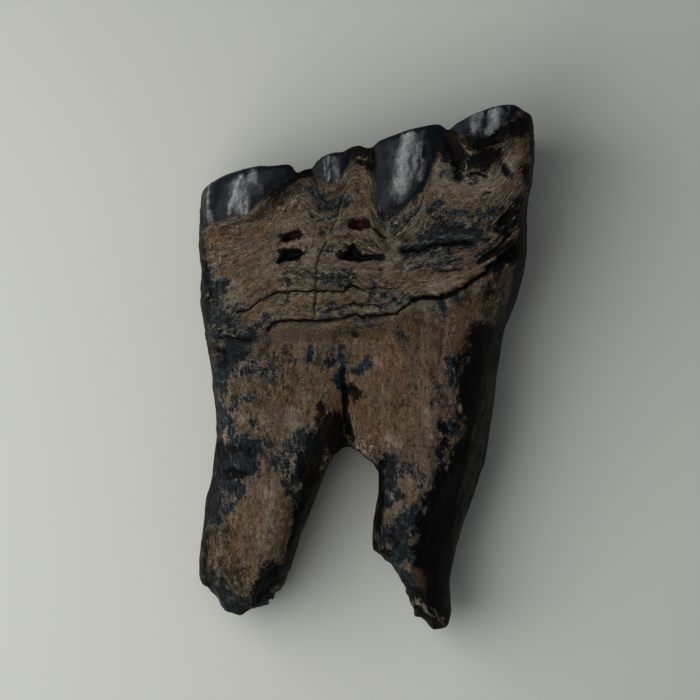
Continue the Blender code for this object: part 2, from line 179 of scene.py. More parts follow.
# Where the front surface stops at each root, and how far the break reaches lower down, as (x, y)
LEFT_END_FRONT = (
    (-15.0, -18.1), (-13.6, -17.6), (-12.9, -18.1), (-12.4, -18.9), (-11.7, -19.9), (-10.1, -20.5),
    (-9.7, -19.2), (-9.0, -18.1), (-7.9, -17.3), (-6.5, -16.9),
)
LEFT_END_REACH = (
    (-15.0, -18.5), (-14.5, -19.1), (-13.6, -20.2), (-12.6, -21.6), (-11.3, -22.1), (-10.7, -21.8),
    (-9.7, -21.4), (-8.6, -20.6), (-7.4, -19.6), (-6.9, -17.9), (-6.4, -16.9),
)
RIGHT_END_FRONT = (
    (0.6, -16.0), (1.5, -16.6), (2.6, -17.6), (3.9, -18.0), (4.8, -19.0), (5.6, -20.6), (6.6, -21.8),
    (7.5, -22.4),
)
RIGHT_END_REACH = (
    (0.6, -16.0), (1.3, -16.5), (2.1, -17.3), (3.1, -19.0), (3.6, -20.4), (4.3, -22.1),
    (4.9, -22.1), (5.9, -23.35), (6.5, -23.1), (7.5, -22.6),
)
BREAK_SHOULDER = (7.5, 12.0)  # the heights between which a break slopes from its reach to the front
print("rim from", FRONT_RIM[0], "to", FRONT_RIM[-1])

# %% [markdown]
# ## The layers of cement
# A horse's tooth is coated in cement, laid down in thin sheets that sag between the enamel lobes like
# cloth between pegs. The grid's rows follow these sheets: five traced lines cross the
# crown, and every row between two of them is a share of the way. A crack or a ledge that runs along
# a layer then falls along a row, where fine relief stays crisp.

# %% Layer lines across the front, as (x, y)
ENAMEL_EDGE = (
    (-14.9, 12.2), (-13.4, 12.6), (-12.1, 12.7), (-10.6, 12.9), (-9.6, 13.7), (-8.9, 14.3), (-7.5, 15.6),
    (-6.3, 16.2), (-5.4, 16.3), (-4.9, 16.1), (-4.3, 15.1), (-3.6, 14.5), (-2.6, 14.9), (-1.9, 16.0),
    (-1.3, 16.9), (-0.4, 17.2), (0.3, 16.9), (0.7, 14.8), (1.1, 12.8), (1.9, 11.5), (2.6, 12.3),
    (3.6, 13.5), (4.7, 14.8), (5.5, 16.4), (6.2, 17.0), (7.1, 16.5), (9.1, 16.4), (11.1, 17.2),
    (12.8, 18.7), (14.9, 20.6),
)
UPPER_LAYER = (
    (-14.9, 9.8), (-13.0, 10.4), (-10.8, 10.8), (-8.6, 11.7), (-6.8, 12.6), (-5.5, 13.2), (-4.3, 12.8),
    (-3.4, 12.7), (-1.3, 12.8), (-0.4, 12.7), (0.4, 12.0), (1.6, 10.7), (2.5, 10.5), (3.8, 11.2),
    (5.6, 12.6), (7.3, 13.5), (9.1, 13.7), (10.8, 14.3), (12.2, 15.7), (13.5, 17.9), (14.9, 19.6),
)
PIT_LAYER = (
    (-14.9, 6.0), (-13.0, 6.8), (-11.2, 7.7), (-9.0, 8.8), (-7.2, 9.5), (-5.6, 9.7), (-2.4, 9.6),
    (0.3, 9.5), (2.9, 9.7), (4.7, 10.3), (7.3, 10.9), (10.0, 11.4), (11.3, 12.3), (12.6, 13.9),
    (13.8, 15.5), (14.9, 17.2),
)
UPPER_CRACK = (
    (-14.9, 2.9), (-13.4, 3.5), (-11.3, 4.8), (-9.9, 5.5), (-8.6, 6.2), (-7.5, 6.65), (-4.5, 6.65),
    (-2.6, 6.6), (-0.8, 6.9), (1.6, 7.0), (3.8, 7.5), (5.1, 7.7), (6.9, 8.4), (9.5, 9.7), (10.4, 10.1),
    (11.7, 11.4), (13.1, 12.8), (14.9, 15.1),
)
MAIN_CRACK = (
    (-14.9, 1.6), (-13.0, 2.1), (-11.0, 2.5), (-9.6, 2.9), (-8.5, 3.7), (-7.5, 4.0), (-4.5, 4.1),
    (-2.7, 4.4), (1.6, 4.5), (2.7, 4.9), (3.8, 5.85), (5.1, 6.0), (6.6, 6.05), (7.8, 6.6), (8.7, 7.1),
    (9.8, 7.8), (10.9, 8.5), (11.7, 9.3), (12.7, 10.4), (13.9, 12.0), (14.9, 13.0),
)
# Each layer line with the rows above it, the cement's thickness down to it, and its share of the back
LAYERS = (
    (ENAMEL_EDGE, 32, 3.5, 0.2), (UPPER_LAYER, 18, 2.6, 0.4), (PIT_LAYER, 20, 2.6, 0.6),
    (UPPER_CRACK, 22, 2.6, 0.8), (MAIN_CRACK, 20, 2.4, 1.0),
)
BACK_CRACK = ((-14.9, 1.6), (0.0, 3.5), (14.9, 7.0))
print(len(LAYERS), "layer lines, with", sum(layer[1] for layer in LAYERS), "rows between them")

# %% [markdown]
# ## The section of the tooth
# A slice through half of the crown is a squared oval. The columns of the grid run from the seam in the
# middle, across the front, down the outer side and back across the underside. The underside
# is seldom seen, so its columns are twice as wide.

# %% Columns and rows of the grid
FRONT_COLUMNS = 80     # across half the front
SIDE_COLUMNS = 36
BACK_COLUMNS = FRONT_COLUMNS // 2
WAIST_ROWS = 44
ROOT_ROWS = 80
FORK_CROWDING = 2.0    # how much closer the rows lie near the fork
SETTLING_ROUNDS = 14
CROWN_HALF_WIDTH = 14.5

ACROSS = np.concatenate([
    np.linspace(0, 1, FRONT_COLUMNS + 1), np.ones(SIDE_COLUMNS - 1), np.linspace(1, 0, BACK_COLUMNS + 1),
])
DOWN = np.concatenate([
    np.ones(FRONT_COLUMNS), np.linspace(1, -1, SIDE_COLUMNS + 1), -np.ones(BACK_COLUMNS),
])
ON_SIDE = np.abs(DOWN) < 1
front_step = CROWN_HALF_WIDTH / FRONT_COLUMNS
print(len(ACROSS), "columns round half the tooth, each", round(front_step, 2), "mm wide in front")

# %% [markdown]
# ## Grooves and swellings
# Below the crown the front sinks into a valley that leads to the fork, and the back has one deep groove
# between its two columns, as the lower cheek teeth of horses have.

# %% Grooves
# Shares of the half height between which something belongs to the front, the back or the rim
FRONT_SHARES = (0.0, 0.65)
BACK_SHARES = (0.0, -0.6)
RIM_SHARES = (-0.6, 0.75)
# Depth, half width, and the heights along the tooth between which it deepens
FRONT_GROOVE = (1.1, 1.3, (3.5, -4.0))
FRONT_VALLEY = (0.9, 4.5, (6.0, -7.0))
BACK_GROOVE = (3.6, 3.4)      # depth and half width
LUMP_HEIGHT = 0.22


def grooves(x, y, high):
    """How far the front sinks and the back is cut in: bells across the seam. The front's two deepen
    towards the fork."""
    away = x - curve(SEAM, y)
    front = sum(
        deep * bell(away, wide) * ramp(y, *reach) for deep, wide, reach in (FRONT_GROOVE, FRONT_VALLEY))
    back = BACK_GROOVE[0] * bell(away, BACK_GROOVE[1])
    return back * ramp(high, *BACK_SHARES) - front * ramp(high, *FRONT_SHARES)


def lumps(x, y, z):
    """Low swellings a few millimetres across: products of slow waves, and some of quicker ones."""
    slow = np.sin(0.55 * x + 0.8 * np.sin(0.31 * y)) * np.sin(0.43 * y + 1.3 + 0.4 * z)
    quick = np.sin(1.3 * x + 0.9 * z + 0.7) * np.sin(1.05 * y + 0.6 * np.sin(0.8 * x))
    return LUMP_HEIGHT * (0.7 * slow + 0.3 * quick)


print("the back groove is", BACK_GROOVE[0], "mm deep, the lumps", LUMP_HEIGHT, "mm high")

# %% [markdown]
# ## Edges that change with depth
# The fork is an arch, and an arch springs level from its top. The rim and the layer lines stand in one
# place in front and in another behind, so each is a mix of two lines by the share of the height.

# %% Arch, rim and layer lines


def arch(points, at):
    """An edge that springs level from the fork: smooth in the square root of the depth below it."""
    by_root = [((FORK_Y - place) ** 0.5, value) for place, value in points]
    return curve(by_root, np.sqrt(np.maximum(FORK_Y - at, 0)))


def chewing_rim(x, z, high):
    """How far the rim stands at a place in the section: more at the front than at the back."""
    back = curve(BACK_RIM, x)
    return back + (line(FRONT_RIM, x) - back) * ramp(high, *RIM_SHARES)


def layer_target(number):
    """The height of one layer line at a place in the section: traced in front, an even share behind."""
    points, _, _, share = LAYERS[number]

    def height(x, z, high):
        """The back's line and the front's, mixed by the share of the height."""
        behind = curve(BACK_RIM, x) + (curve(BACK_CRACK, x) - curve(BACK_RIM, x)) * share
        return behind + (curve(points, x) - behind) * ramp(high, *RIM_SHARES)
    return height


print("the rim is", round(float(chewing_rim(0.0, 0.0, 1.0)), 1), "mm up the middle of the front")

# %% [markdown]
# ## One half of the tooth
# The tooth is two half tubes that share the crown and part into two roots. A half keeps the five tables
# that shape it, and `place` turns a height along the tooth into a point of every column.

# %% The half


class Half(NamedTuple):
    """One half of the tooth: half of the crown, and the root below it."""
    outer_edge: tuple
    inner_edge: tuple
    end_front: tuple
    end_reach: tuple
    lean: tuple

    def inner(self, y):
        """The seam down the middle of the crown, and below the fork the root's own inner edge."""
        return np.where(y > FORK_Y, curve(SEAM, y), arch(self.inner_edge, y))

    def shares(self, y, root):
        """Every column's place in the section, as shares of the half width and half height."""
        power = np.where(DOWN > 0, curve(FRONT_SQUARENESS, y), BACK_SQUARENESS)
        corner = 0.5 ** (1 / power)
        across = corner * (ACROSS * (1 + root) - root)
        high = np.where(ON_SIDE, corner * DOWN, np.sign(DOWN) * oval(across, power))
        return np.where(ON_SIDE, oval(corner * DOWN, power), across), high

    def place(self, y):
        """x, z and the share of the height for every column at the heights y along the tooth: half a
        squared oval in the crown, turning into a whole one below the fork, with its side leaning in."""
        root = ramp(FORK_Y - y, 0, ROOT_ROUNDING_LENGTH)
        inner, outer = self.inner(y), curve(self.outer_edge, y)
        half_wide, half_high = self.shares(y, 0)
        full_wide, full_high = self.shares(y, 1)
        half_x = inner + (outer - inner) * half_wide
        full_x = (inner + outer) / 2 + (outer - inner) / 2 * full_wide
        x = half_x + (full_x - half_x) * root
        high = half_high + (full_high - half_high) * root
        outward = np.clip((x - inner) / (outer - inner), 0, 1)
        x = x - np.sign(outer - inner) * curve(self.lean, y) * ramp(high, 0, 1) * outward
        top, bottom = curve(FRONT_CREST, y), curve(BACK_CREST, y)
        z = (top + bottom) / 2 + (top - bottom) / 2 * high
        return x, z + grooves(x, y, high), high


left_half = Half(LEFT_EDGE, LEFT_INNER_EDGE, LEFT_END_FRONT, LEFT_END_REACH, LEFT_LEAN)
right_half = Half(RIGHT_EDGE, RIGHT_INNER_EDGE, RIGHT_END_FRONT, RIGHT_END_REACH, RIGHT_LEAN)
print("the seam is at x =", left_half.inner(0.0), "mm for both halves")

# %% [markdown]
# ## Rows that follow the layers
# A layer line depends on where a column stands, and the column's place depends on its height along the
# tooth. `settle` finds a height that fits both: it starts from a guess and puts each answer back
# in. Between two settled lines the rows are spread evenly, and on the roots they crowd towards the fork.

# %% Rows
RIM_GUESS = 18.0
END_GUESS = -20.0


def settle(half, start, target):
    """The row whose height is target(x, z, high), found by putting each answer back in."""
    y = np.zeros(len(DOWN)) + start
    for _ in range(SETTLING_ROUNDS):
        y = (y + target(*half.place(y))) / 2
    return y


def break_at(half, x, z):
    """Where the root ends at a place in its section: the break slopes from its reach to the front."""
    reach = line(half.end_reach, x)
    return reach + (line(half.end_front, x) - reach) * ramp(z, *BREAK_SHOULDER)


def rows_of(half):
    """The grid's heights along the tooth, and how deep in the layers each row lies."""
    above, depth = settle(half, RIM_GUESS, chewing_rim), 0.0
    y, layer = [above[None]], [0.0]
    for number, (_, rows, thickness, _) in enumerate(LAYERS):
        below = settle(half, above, layer_target(number))
        share = np.linspace(0, 1, rows + 1)[1:]
        y.append(above + (below - above) * share[:, None])
        layer.extend(depth + thickness * share)
        above, depth = below, depth + thickness
    waist = np.linspace(0, 1, WAIST_ROWS + 1)[1:, None]
    even = np.linspace(0, 1, ROOT_ROWS + 1)[1:, None]
    crowded = even + (even ** FORK_CROWDING - even) * (1 - ACROSS)
    end = settle(half, END_GUESS, lambda x, z, high: break_at(half, x, z))
    y += [above + (FORK_Y - above) * waist, FORK_Y + (end - FORK_Y) * crowded]
    y = np.concatenate(y)
    layer = np.concatenate([np.array(layer)[:, None] + 0 * above, depth + above - y[len(layer):]])
    return y, layer


print("the left half has", len(rows_of(left_half)[0]), "rows")

# %% [markdown]
# ## The sheets of a half
# The outer sheet strings the rows together round the outside. Below the fork a root also has an inner
# side. That sheet springs from the outer sheet's first and last columns, so the two meet exactly.

# %% Outer and inner sheets


def outer_sheet(half):
    """The outer surface: rows from the rim to the root's end, columns round the outside."""
    y, layer = rows_of(half)
    x, z, high = half.place(y)
    z = z + lumps(x, y, z)
    return np.stack([x, y, z], axis=-1), layer, high


def inner_sheet(half, sheet):
    """The root's inner side, from the fork to the end: a straight web from front to back, bulged like
    the section's oval."""
    front, back = sheet[-ROOT_ROWS - 1:, :1], sheet[-ROOT_ROWS - 1:, -1:]
    down = np.linspace(1, -1, SIDE_COLUMNS + 1)
    points = (front + back) / 2 + (front - back) / 2 * down[:, None]
    y = points[..., 1]
    power = np.where(down > 0, curve(FRONT_SQUARENESS, y), BACK_SQUARENESS)
    inner, outer = arch(half.inner_edge, y), curve(half.outer_edge, y)
    bulge = oval(0.5 ** (1 / power) * down, power) - oval(0.5 ** (1 / power), power)
    points[..., 0] -= (outer - inner) / 2 * bulge * ramp(FORK_Y - y, 0, ROOT_ROUNDING_LENGTH)
    return points


left_sheet, right_sheet = outer_sheet(left_half), outer_sheet(right_half)
print("each half is a grid of", left_sheet[1].shape)

# %% [markdown]
# ## Collecting the sheets
# The skin is made of several sheets. Each one adds its points to a common list, with what the
# materials want to know of them, and its faces count on from the points that are there already.

# %% The list of sheets
surface = {"points": [], "layer": [], "high": [], "cap": [], "faces": [], "count": 0}
OUTSIDE, INNER_WALL, BREAK, CHEWING = 0.0, 1.0, 2.0, 3.0


def add_points(points, layer, high, kind, faces):
    """Adds points with their layer depth, height share and kind, and faces that count from the first."""
    points = points.reshape(-1, 3)
    for key, value in (("layer", layer), ("high", high), ("cap", kind)):
        surface[key].append(np.broadcast_to(np.asarray(value, float).ravel(), len(points)))
    surface["points"].append(points)
    surface["faces"] += [face + surface["count"] for face in faces]
    surface["count"] += len(points)


def grid_faces(rows, columns):
    """The four corners of every cell of a grid."""
    first = (np.arange(rows - 1)[:, None] * columns + np.arange(columns - 1)).ravel()
    return np.stack([first, first + 1, first + columns + 1, first + columns], axis=-1)


print("a grid of 3 by 3 points has", len(grid_faces(3, 3)), "faces")

# %% [markdown]
# ## Caps
# The chewing surface and the two breaks each close a ring of columns. A cap is stretched between its
# four edges. Its back edge has half as many points as its front, so the last strip is a row of
# triangles that joins two fine steps to one coarse step.

# %% Caps


def patch(front, back, left, right):
    """A surface stretched between four edges that meet at their ends: rows from front to back."""
    u = np.linspace(0, 1, len(front))[None, :, None]
    w = np.linspace(0, 1, len(left))[:, None, None]
    across = (1 - w) * front[None] + w * back[None]
    down = (1 - u) * left[:, None] + u * right[:, None]
    near = (1 - u) * front[0] + u * front[-1]
    far = (1 - u) * back[0] + u * back[-1]
    return across + down - (1 - w) * near - w * far


def add_cap(front, back, left, right, kind, height):
    """A cap between a fine front edge and a coarse back edge. height(x, z) sets y inside the edges."""
    fine_back = np.empty_like(front)
    fine_back[::2] = back
    fine_back[1::2] = (back[1:] + back[:-1]) / 2
    cap = patch(front, fine_back, left, right)[:-1]
    middle = cap[1:, 1:-1]
    middle[..., 1] = height(middle)
    rows, columns = cap.shape[:2]
    fine = (rows - 1) * columns + 2 * np.arange(len(back) - 1)
    coarse = rows * columns + np.arange(len(back) - 1)
    ladder = [
        np.stack([fine, fine + 1, coarse], -1), np.stack([fine + 1, coarse + 1, coarse], -1),
        np.stack([fine + 1, fine + 2, coarse + 1], -1),
    ]
    points = np.concatenate([cap.reshape(-1, 3), back])
    add_points(points, 0, 0, kind, [grid_faces(rows, columns), *ladder])


print("a cap has", FRONT_COLUMNS, "steps in front and", BACK_COLUMNS, "behind, on each half")

# %% [markdown]
# ## Putting the sheets together
# Each half brings its outer sheet, its root's inner sheet and the cap of its break. The chewing
# surface is one cap over both halves, so its front and back edges run from one side to the other.

# %% All the sheets
corner = FRONT_COLUMNS + SIDE_COLUMNS
for half, (sheet, layer, high) in ((left_half, left_sheet), (right_half, right_sheet)):
    inner = inner_sheet(half, sheet)
    add_points(sheet, layer, high, OUTSIDE, [grid_faces(*layer.shape)])
    inner_layer = np.broadcast_to(layer[-ROOT_ROWS - 1:, :1], inner.shape[:2])
    add_points(inner, inner_layer, 0, INNER_WALL, [grid_faces(*inner.shape[:2])])
    last = sheet[-1]
    add_cap(last[:FRONT_COLUMNS + 1], last[:corner - 1:-1], inner[-1],
            last[FRONT_COLUMNS:corner + 1], BREAK,
            lambda at, half=half: break_at(half, at[..., 0], at[..., 2]))
left_top, right_top = left_sheet[0][0], right_sheet[0][0]
add_cap(np.concatenate([left_top[FRONT_COLUMNS::-1], right_top[1:FRONT_COLUMNS + 1]]),
        np.concatenate([left_top[corner:], right_top[-2:corner - 1:-1]]),
        left_top[FRONT_COLUMNS:corner + 1], right_top[FRONT_COLUMNS:corner + 1], CHEWING,
        lambda at: at[..., 1])
print(surface["count"], "points in", len(surface["points"]), "sheets")

# %% [markdown]
# ## One closed mesh
# The sheets share their edges point for point. Merging those doubles gives one watertight skin, and
# recalculating the normals turns every face outward.

# %% Weld the sheets
WELD_DISTANCE = 0.001


def put_attribute(mesh, name, values):
    """Stores one number for each point, which materials can read."""
    made = mesh.attributes.get(name) or mesh.attributes.new(name, "FLOAT", "POINT")
    made.data.foreach_set("value", np.ascontiguousarray(values, np.float32))


def get_attribute(mesh, name):
    """The same numbers read back."""
    values = np.empty(len(mesh.vertices), np.float32)
    mesh.attributes[name].data.foreach_get("value", values)
    return values.astype(float)


def read_vectors(items, field, count):
    """A field of three numbers for each item, as an array with three columns."""
    values = np.empty(3 * count, np.float32)
    items.foreach_get(field, values)
    return values.reshape(-1, 3).astype(float)


mesh = bpy.data.meshes.new("fossil_tooth_surface")
loose = np.concatenate(surface["points"])
mesh.from_pydata(loose, [], [face for faces in surface["faces"] for face in faces.tolist()])
for name in ("layer", "high", "cap"):
    put_attribute(mesh, name, np.concatenate(surface[name]))
bm = bmesh.new()
bm.from_mesh(mesh)
bmesh.ops.remove_doubles(bm, verts=bm.verts, dist=WELD_DISTANCE)
bmesh.ops.recalc_face_normals(bm, faces=bm.faces)
open_edges = sum(not edge.is_manifold for edge in bm.edges)
bm.to_mesh(mesh)
bm.free()
mesh.calc_loop_triangles()
count = len(mesh.vertices)
print(count, "points,", len(mesh.loop_triangles), "triangles,", open_edges, "open edges")

# %% [markdown]
# ## Rough ground
# No part of the tooth is smooth. Noise at several sizes gives it its uneven skin, and noise of the
# same kind bends every traced line a little. `lattice` is the simplest such noise: random values on a
# cubic lattice, blended smoothly between the corners of each cell.

# %% Noise
TABLE_SIZE = 48         # the noise repeats after this many cells
OCTAVE_SHARE = 0.55     # how high each finer noise is, as a share of the last


def lattice(points, size, seed):
    """Noise between -1 and 1: random values one size apart, blended smoothly between the eight nearest."""
    table = np.random.default_rng(seed).uniform(-1, 1, (TABLE_SIZE,) * 3)
    cell = np.floor(points / size).astype(int)
    s = points / size - cell
    s = s * s * (3 - 2 * s)
    value = np.zeros(len(points))
    for corner in np.ndindex(2, 2, 2):
        i, j, k = ((cell + corner) % TABLE_SIZE).T
        value += np.prod(np.where(corner, s, 1 - s), axis=-1) * table[i, j, k]
    return value


def rough(points, size, octaves, seed):
    """Noise upon noise: each is half the size and a little over half the height of the last."""
    return sum(OCTAVE_SHARE ** n * lattice(points, size / 2 ** n, seed + n) for n in range(octaves))


points = read_vectors(mesh.vertices, "co", count)
sample = rough(points, 1.0, 3, 1)
print("noise from", round(sample.min(), 2), "to", round(sample.max(), 2))

# %% [markdown]
# ## Traced strokes
# Cracks, small hollows and stains are strokes: a path seen from above, a half width and a strength.
# Pits and enamel lobes are closed outlines, which give a distance that is negative inside. Both are
# worked out for all points at once, one stretch of the path after the other.

# %% Strokes and outlines


def from_path(x, y, path):
    """The distance of each point from the nearest straight stretch of a path."""
    nearest = np.full(len(x), np.inf)
    for (ax, ay), (bx, by) in zip(path, path[1:]):
        along = np.clip(((x - ax) * (bx - ax) + (y - ay) * (by - ay)) / np.hypot(bx - ax, by - ay) ** 2, 0, 1)
        nearest = np.minimum(nearest, np.hypot(x - ax - along * (bx - ax), y - ay - along * (by - ay)))
    return nearest


def from_outline(x, y, outline):
    """The distance from a closed outline, negative inside, where a line to the right crosses it an odd
    number of times."""
    closed = [*outline, outline[0]]
    crossings = np.zeros(len(x), int)
    for (ax, ay), (bx, by) in zip(closed, closed[1:]):
        if ay != by:
            crossings += ((ay > y) != (by > y)) & (x < ax + (y - ay) / (by - ay) * (bx - ax))
    return from_path(x, y, closed) * np.where(crossings % 2, -1, 1)


def painted(strokes, x, y):
    """The strongest stroke at each point: its strength on its path, and about a third of it at its edge."""
    paint = np.zeros(len(x))
    for width, strength, path in strokes:
        low, high = np.min(path, axis=0) - 3 * width, np.max(path, axis=0) + 3 * width
        near = (x > low[0]) & (x < high[0]) & (y > low[1]) & (y < high[1])
        paint[near] = np.maximum(paint[near], strength * bell(from_path(x[near], y[near], path), width))
    return paint


WOBBLE = 0.16           # how far noise bends a traced line
x, y, z = points.T
bent_x = x + WOBBLE * rough(points, 1.3, 3, 11)
bent_y = y + WOBBLE * rough(points, 1.3, 3, 21)
normals = read_vectors(mesh.vertex_normals, "vector", count)
layer, high, cap = (get_attribute(mesh, name) for name in ("layer", "high", "cap"))
on_front = ramp(normals[:, 2], 0.1, 0.6) * (cap == OUTSIDE)
print(round(100 * on_front.mean()), "% of the points are on the front")

# %% [markdown]
# ## Enamel lobes
# At the chewing end the cement has worn off and four lobes of enamel show. Each is a glassy pillow,
# highest along its middle, with a fine groove where the cement begins.

# %% Lobes
LOBES = (
    (
        (-14.6, 16.0), (-14.5, 12.3), (-13.7, 12.8), (-13.0, 12.7), (-11.9, 13.0), (-11.1, 13.2),
        (-10.5, 13.4), (-10.1, 13.8), (-9.3, 14.3), (-8.7, 15.1), (-8.1, 15.7), (-7.4, 16.2),
        (-6.6, 16.5), (-6.2, 17.1), (-6.2, 17.9), (-7.7, 18.6), (-11.2, 18.6), (-15.4, 17.5),
    ),
    (
        (-4.8, 16.9), (-4.0, 16.4), (-3.4, 16.2), (-2.8, 16.3), (-2.3, 16.7), (-1.9, 17.2),
        (-1.5, 17.9), (-1.6, 19.8), (-3.3, 20.0), (-4.9, 19.0),
    ),
    (
        (0.6, 19.0), (0.7, 15.7), (0.9, 14.4), (1.4, 13.7), (2.2, 13.5), (3.2, 13.9), (4.2, 14.8),
        (5.4, 16.4), (6.1, 18.3), (6.7, 20.1), (6.7, 22.4), (2.9, 22.4), (0.6, 21.0),
    ),
    (
        (7.2, 20.9), (8.2, 20.3), (9.1, 20.2), (10.0, 20.3), (10.8, 20.5), (11.5, 20.9), (12.2, 21.4),
        (12.8, 21.7), (13.4, 22.5), (13.5, 24.4), (10.0, 24.4), (7.0, 22.4),
    ),
)
LOBE_BULGE = 0.6
LOBE_SHOULDER = 1.5      # how far inside its border a lobe is nearly at its full height
LOBE_GROOVE = (0.07, 0.3)      # depth and half width
CEMENT_LIP = (0.07, 0.5)       # height and half width
LIP_PLACE = 0.7                # how far outside the border the lip stands
CROWN_START = 9                # the height along the tooth past which there can be enamel
FAR = 4.0                      # distances from the border are kept within this

crown_points = (y > CROWN_START) & (on_front > 0)
off_enamel = np.full(count, FAR)
off_enamel[crown_points] = np.min([
    from_outline(bent_x[crown_points], bent_y[crown_points], outline) for outline in LOBES], axis=0)
off_enamel = np.clip(off_enamel, -FAR, FAR)
pillow = 1 - np.exp(-(np.maximum(-off_enamel, 0) / LOBE_SHOULDER) ** 1.4)
relief = on_front * (
    LOBE_BULGE * pillow - LOBE_GROOVE[0] * bell(off_enamel, LOBE_GROOVE[1])
    + CEMENT_LIP[0] * bell(off_enamel - LIP_PLACE, CEMENT_LIP[1]))
cement = ramp(off_enamel, 0.0, 0.4)
print("enamel covers", round(100 * (off_enamel < 0).mean(), 1), "% of the points")

# %% [markdown]
# ## Layers, fibres and a pitted skin
# Above the main crack the cement has weathered into thin ledges. Noise that is stretched along
# the layers draws them. Below the crack and on the roots the surface is drawn out lengthways like
# wood, so there the noise is stretched along the tooth.

# %% Layers and fibres
MAIN_CRACK_DEPTH = sum(entry[2] for entry in LAYERS)
# Layer depths, and how far the surface steps up there, or down where it is negative
LEDGES = ((4.7, 0.10), (5.8, -0.08), (7.3, 0.10), (8.3, -0.10), (9.7, 0.12), (10.6, -0.10), (12.5, 0.08))
LEDGE_WIDTH = 0.12
SHEET_RELIEF = 0.07
FIBRE_RELIEF = 0.10
SKIN = ((2.8, 0.10), (0.9, 0.045), (0.4, 0.022))       # sizes of the noise, and heights

above_crack = ramp(layer, MAIN_CRACK_DEPTH + 2.0, MAIN_CRACK_DEPTH - 0.3)
bent_layer = layer + 0.35 * rough(points, 3.0, 3, 31)
sheets = rough(np.stack([0.22 * x, bent_layer, 0.3 * z], axis=-1), 0.7, 3, 41)
fibres = rough(np.stack([x, 0.13 * y, z], axis=-1), 0.9, 4, 51)
ledges = sum(rise * ramp(bent_layer, at - LEDGE_WIDTH, at + LEDGE_WIDTH) for at, rise in LEDGES)
skin = sum(rise * lattice(points, size, 61 + int(10 * size)) for size, rise in SKIN)
on_outside = np.isin(cap, (OUTSIDE, INNER_WALL))
relief += on_outside * cement * (
    above_crack * (SHEET_RELIEF * sheets + on_front * ledges)
    + (1 - above_crack) * FIBRE_RELIEF * fibres + skin)
print("skin from", round(skin.min(), 2), "to", round(skin.max(), 2), "mm")

# %% [markdown]
# ## The side face
# On the right the front ends at a crumbling edge, and past it the side is polished black cement
# with fine lengthways scratches.

# %% Side face and edge
# Where the front ends and the side begins, as (y, x)
SIDE_EDGE = (
    (-23.5, 3.6), (-19.4, 3.7), (-17.7, 3.9), (-14.9, 4.4), (-13.1, 4.7), (-11.2, 5.6), (-10.0, 6.4),
    (-7.5, 8.1), (-4.9, 8.6), (-2.2, 8.3), (0.9, 9.2), (3.3, 9.3), (4.2, 11.9), (5.5, 12.7),
    (9.2, 13.5), (12.0, 13.9), (14.0, 14.3), (24.0, 14.6),
)
EDGE_CRUMBLE = 0.35
SCRATCH_RELIEF = 0.035
SIDE_POLISH = 0.45      # the share of the relief that is worn off the side
CRUMBLE_END = -16       # the height along the tooth below which the edge doesn't crumble

past_edge = bent_x - line(SIDE_EDGE, bent_y) + 0.25 * lattice(points, 0.8, 71)
side = ramp(past_edge, -0.1, 0.35) * on_outside
crumbs = np.abs(lattice(points, 0.75, 73)) + 0.5 * np.abs(lattice(points, 0.35, 75)) - 0.6
scratches = rough(np.stack([x, 0.05 * y, z], axis=-1), 0.45, 2, 77)
relief *= 1 - SIDE_POLISH * side
relief += side * SCRATCH_RELIEF * scratches
relief += on_front * EDGE_CRUMBLE * crumbs * bell(past_edge, 0.5) * cement * (y > CRUMBLE_END)
print(round(100 * (side > 0.5).mean()), "% of the points are past the edge")

# %% [markdown]
# ## Cracks
# Two long cracks follow the layers, and small ones join them. Each is a stroke with its depth as its
# strength. Thin ones are hardly wider than a step of the grid, so they are kept shallow.

# %% Crack paths and cracks
UPPER_CRACK_PATH = (
    (-11.3, 4.8), (-10.9, 5.0), (-10.3, 5.2), (-9.7, 5.5), (-9.0, 6.0), (-8.6, 6.2), (-7.9, 6.6),
    (-4.9, 6.7), (-4.3, 6.7), (-3.3, 6.7), (-2.7, 6.6), (-2.2, 6.6), (-1.5, 7.0), (-0.8, 6.9),
)
MAIN_CRACK_PATH = (
    (-8.6, 3.2), (-8.3, 3.7), (-8.0, 3.8), (-7.4, 4.0), (-6.8, 4.1), (-4.5, 4.1), (-3.4, 4.2),
    (-2.4, 4.3), (-1.5, 4.4), (-0.9, 4.5), (0.4, 4.5), (1.6, 4.6), (2.6, 4.7), (3.1, 5.2), (3.8, 5.7),
    (4.2, 5.9),
)
# It opens to the right, and there the lower lip has crumbled
OPEN_CRACK_PATH = (
    (4.2, 5.9), (5.6, 6.0), (6.6, 6.0), (7.3, 6.4), (7.8, 6.7), (8.5, 7.0), (8.9, 7.4), (9.4, 7.7),
    (10.1, 8.0), (10.6, 8.3), (10.8, 8.7), (11.5, 9.2), (11.7, 9.6), (12.7, 10.3), (13.9, 12.0),
)
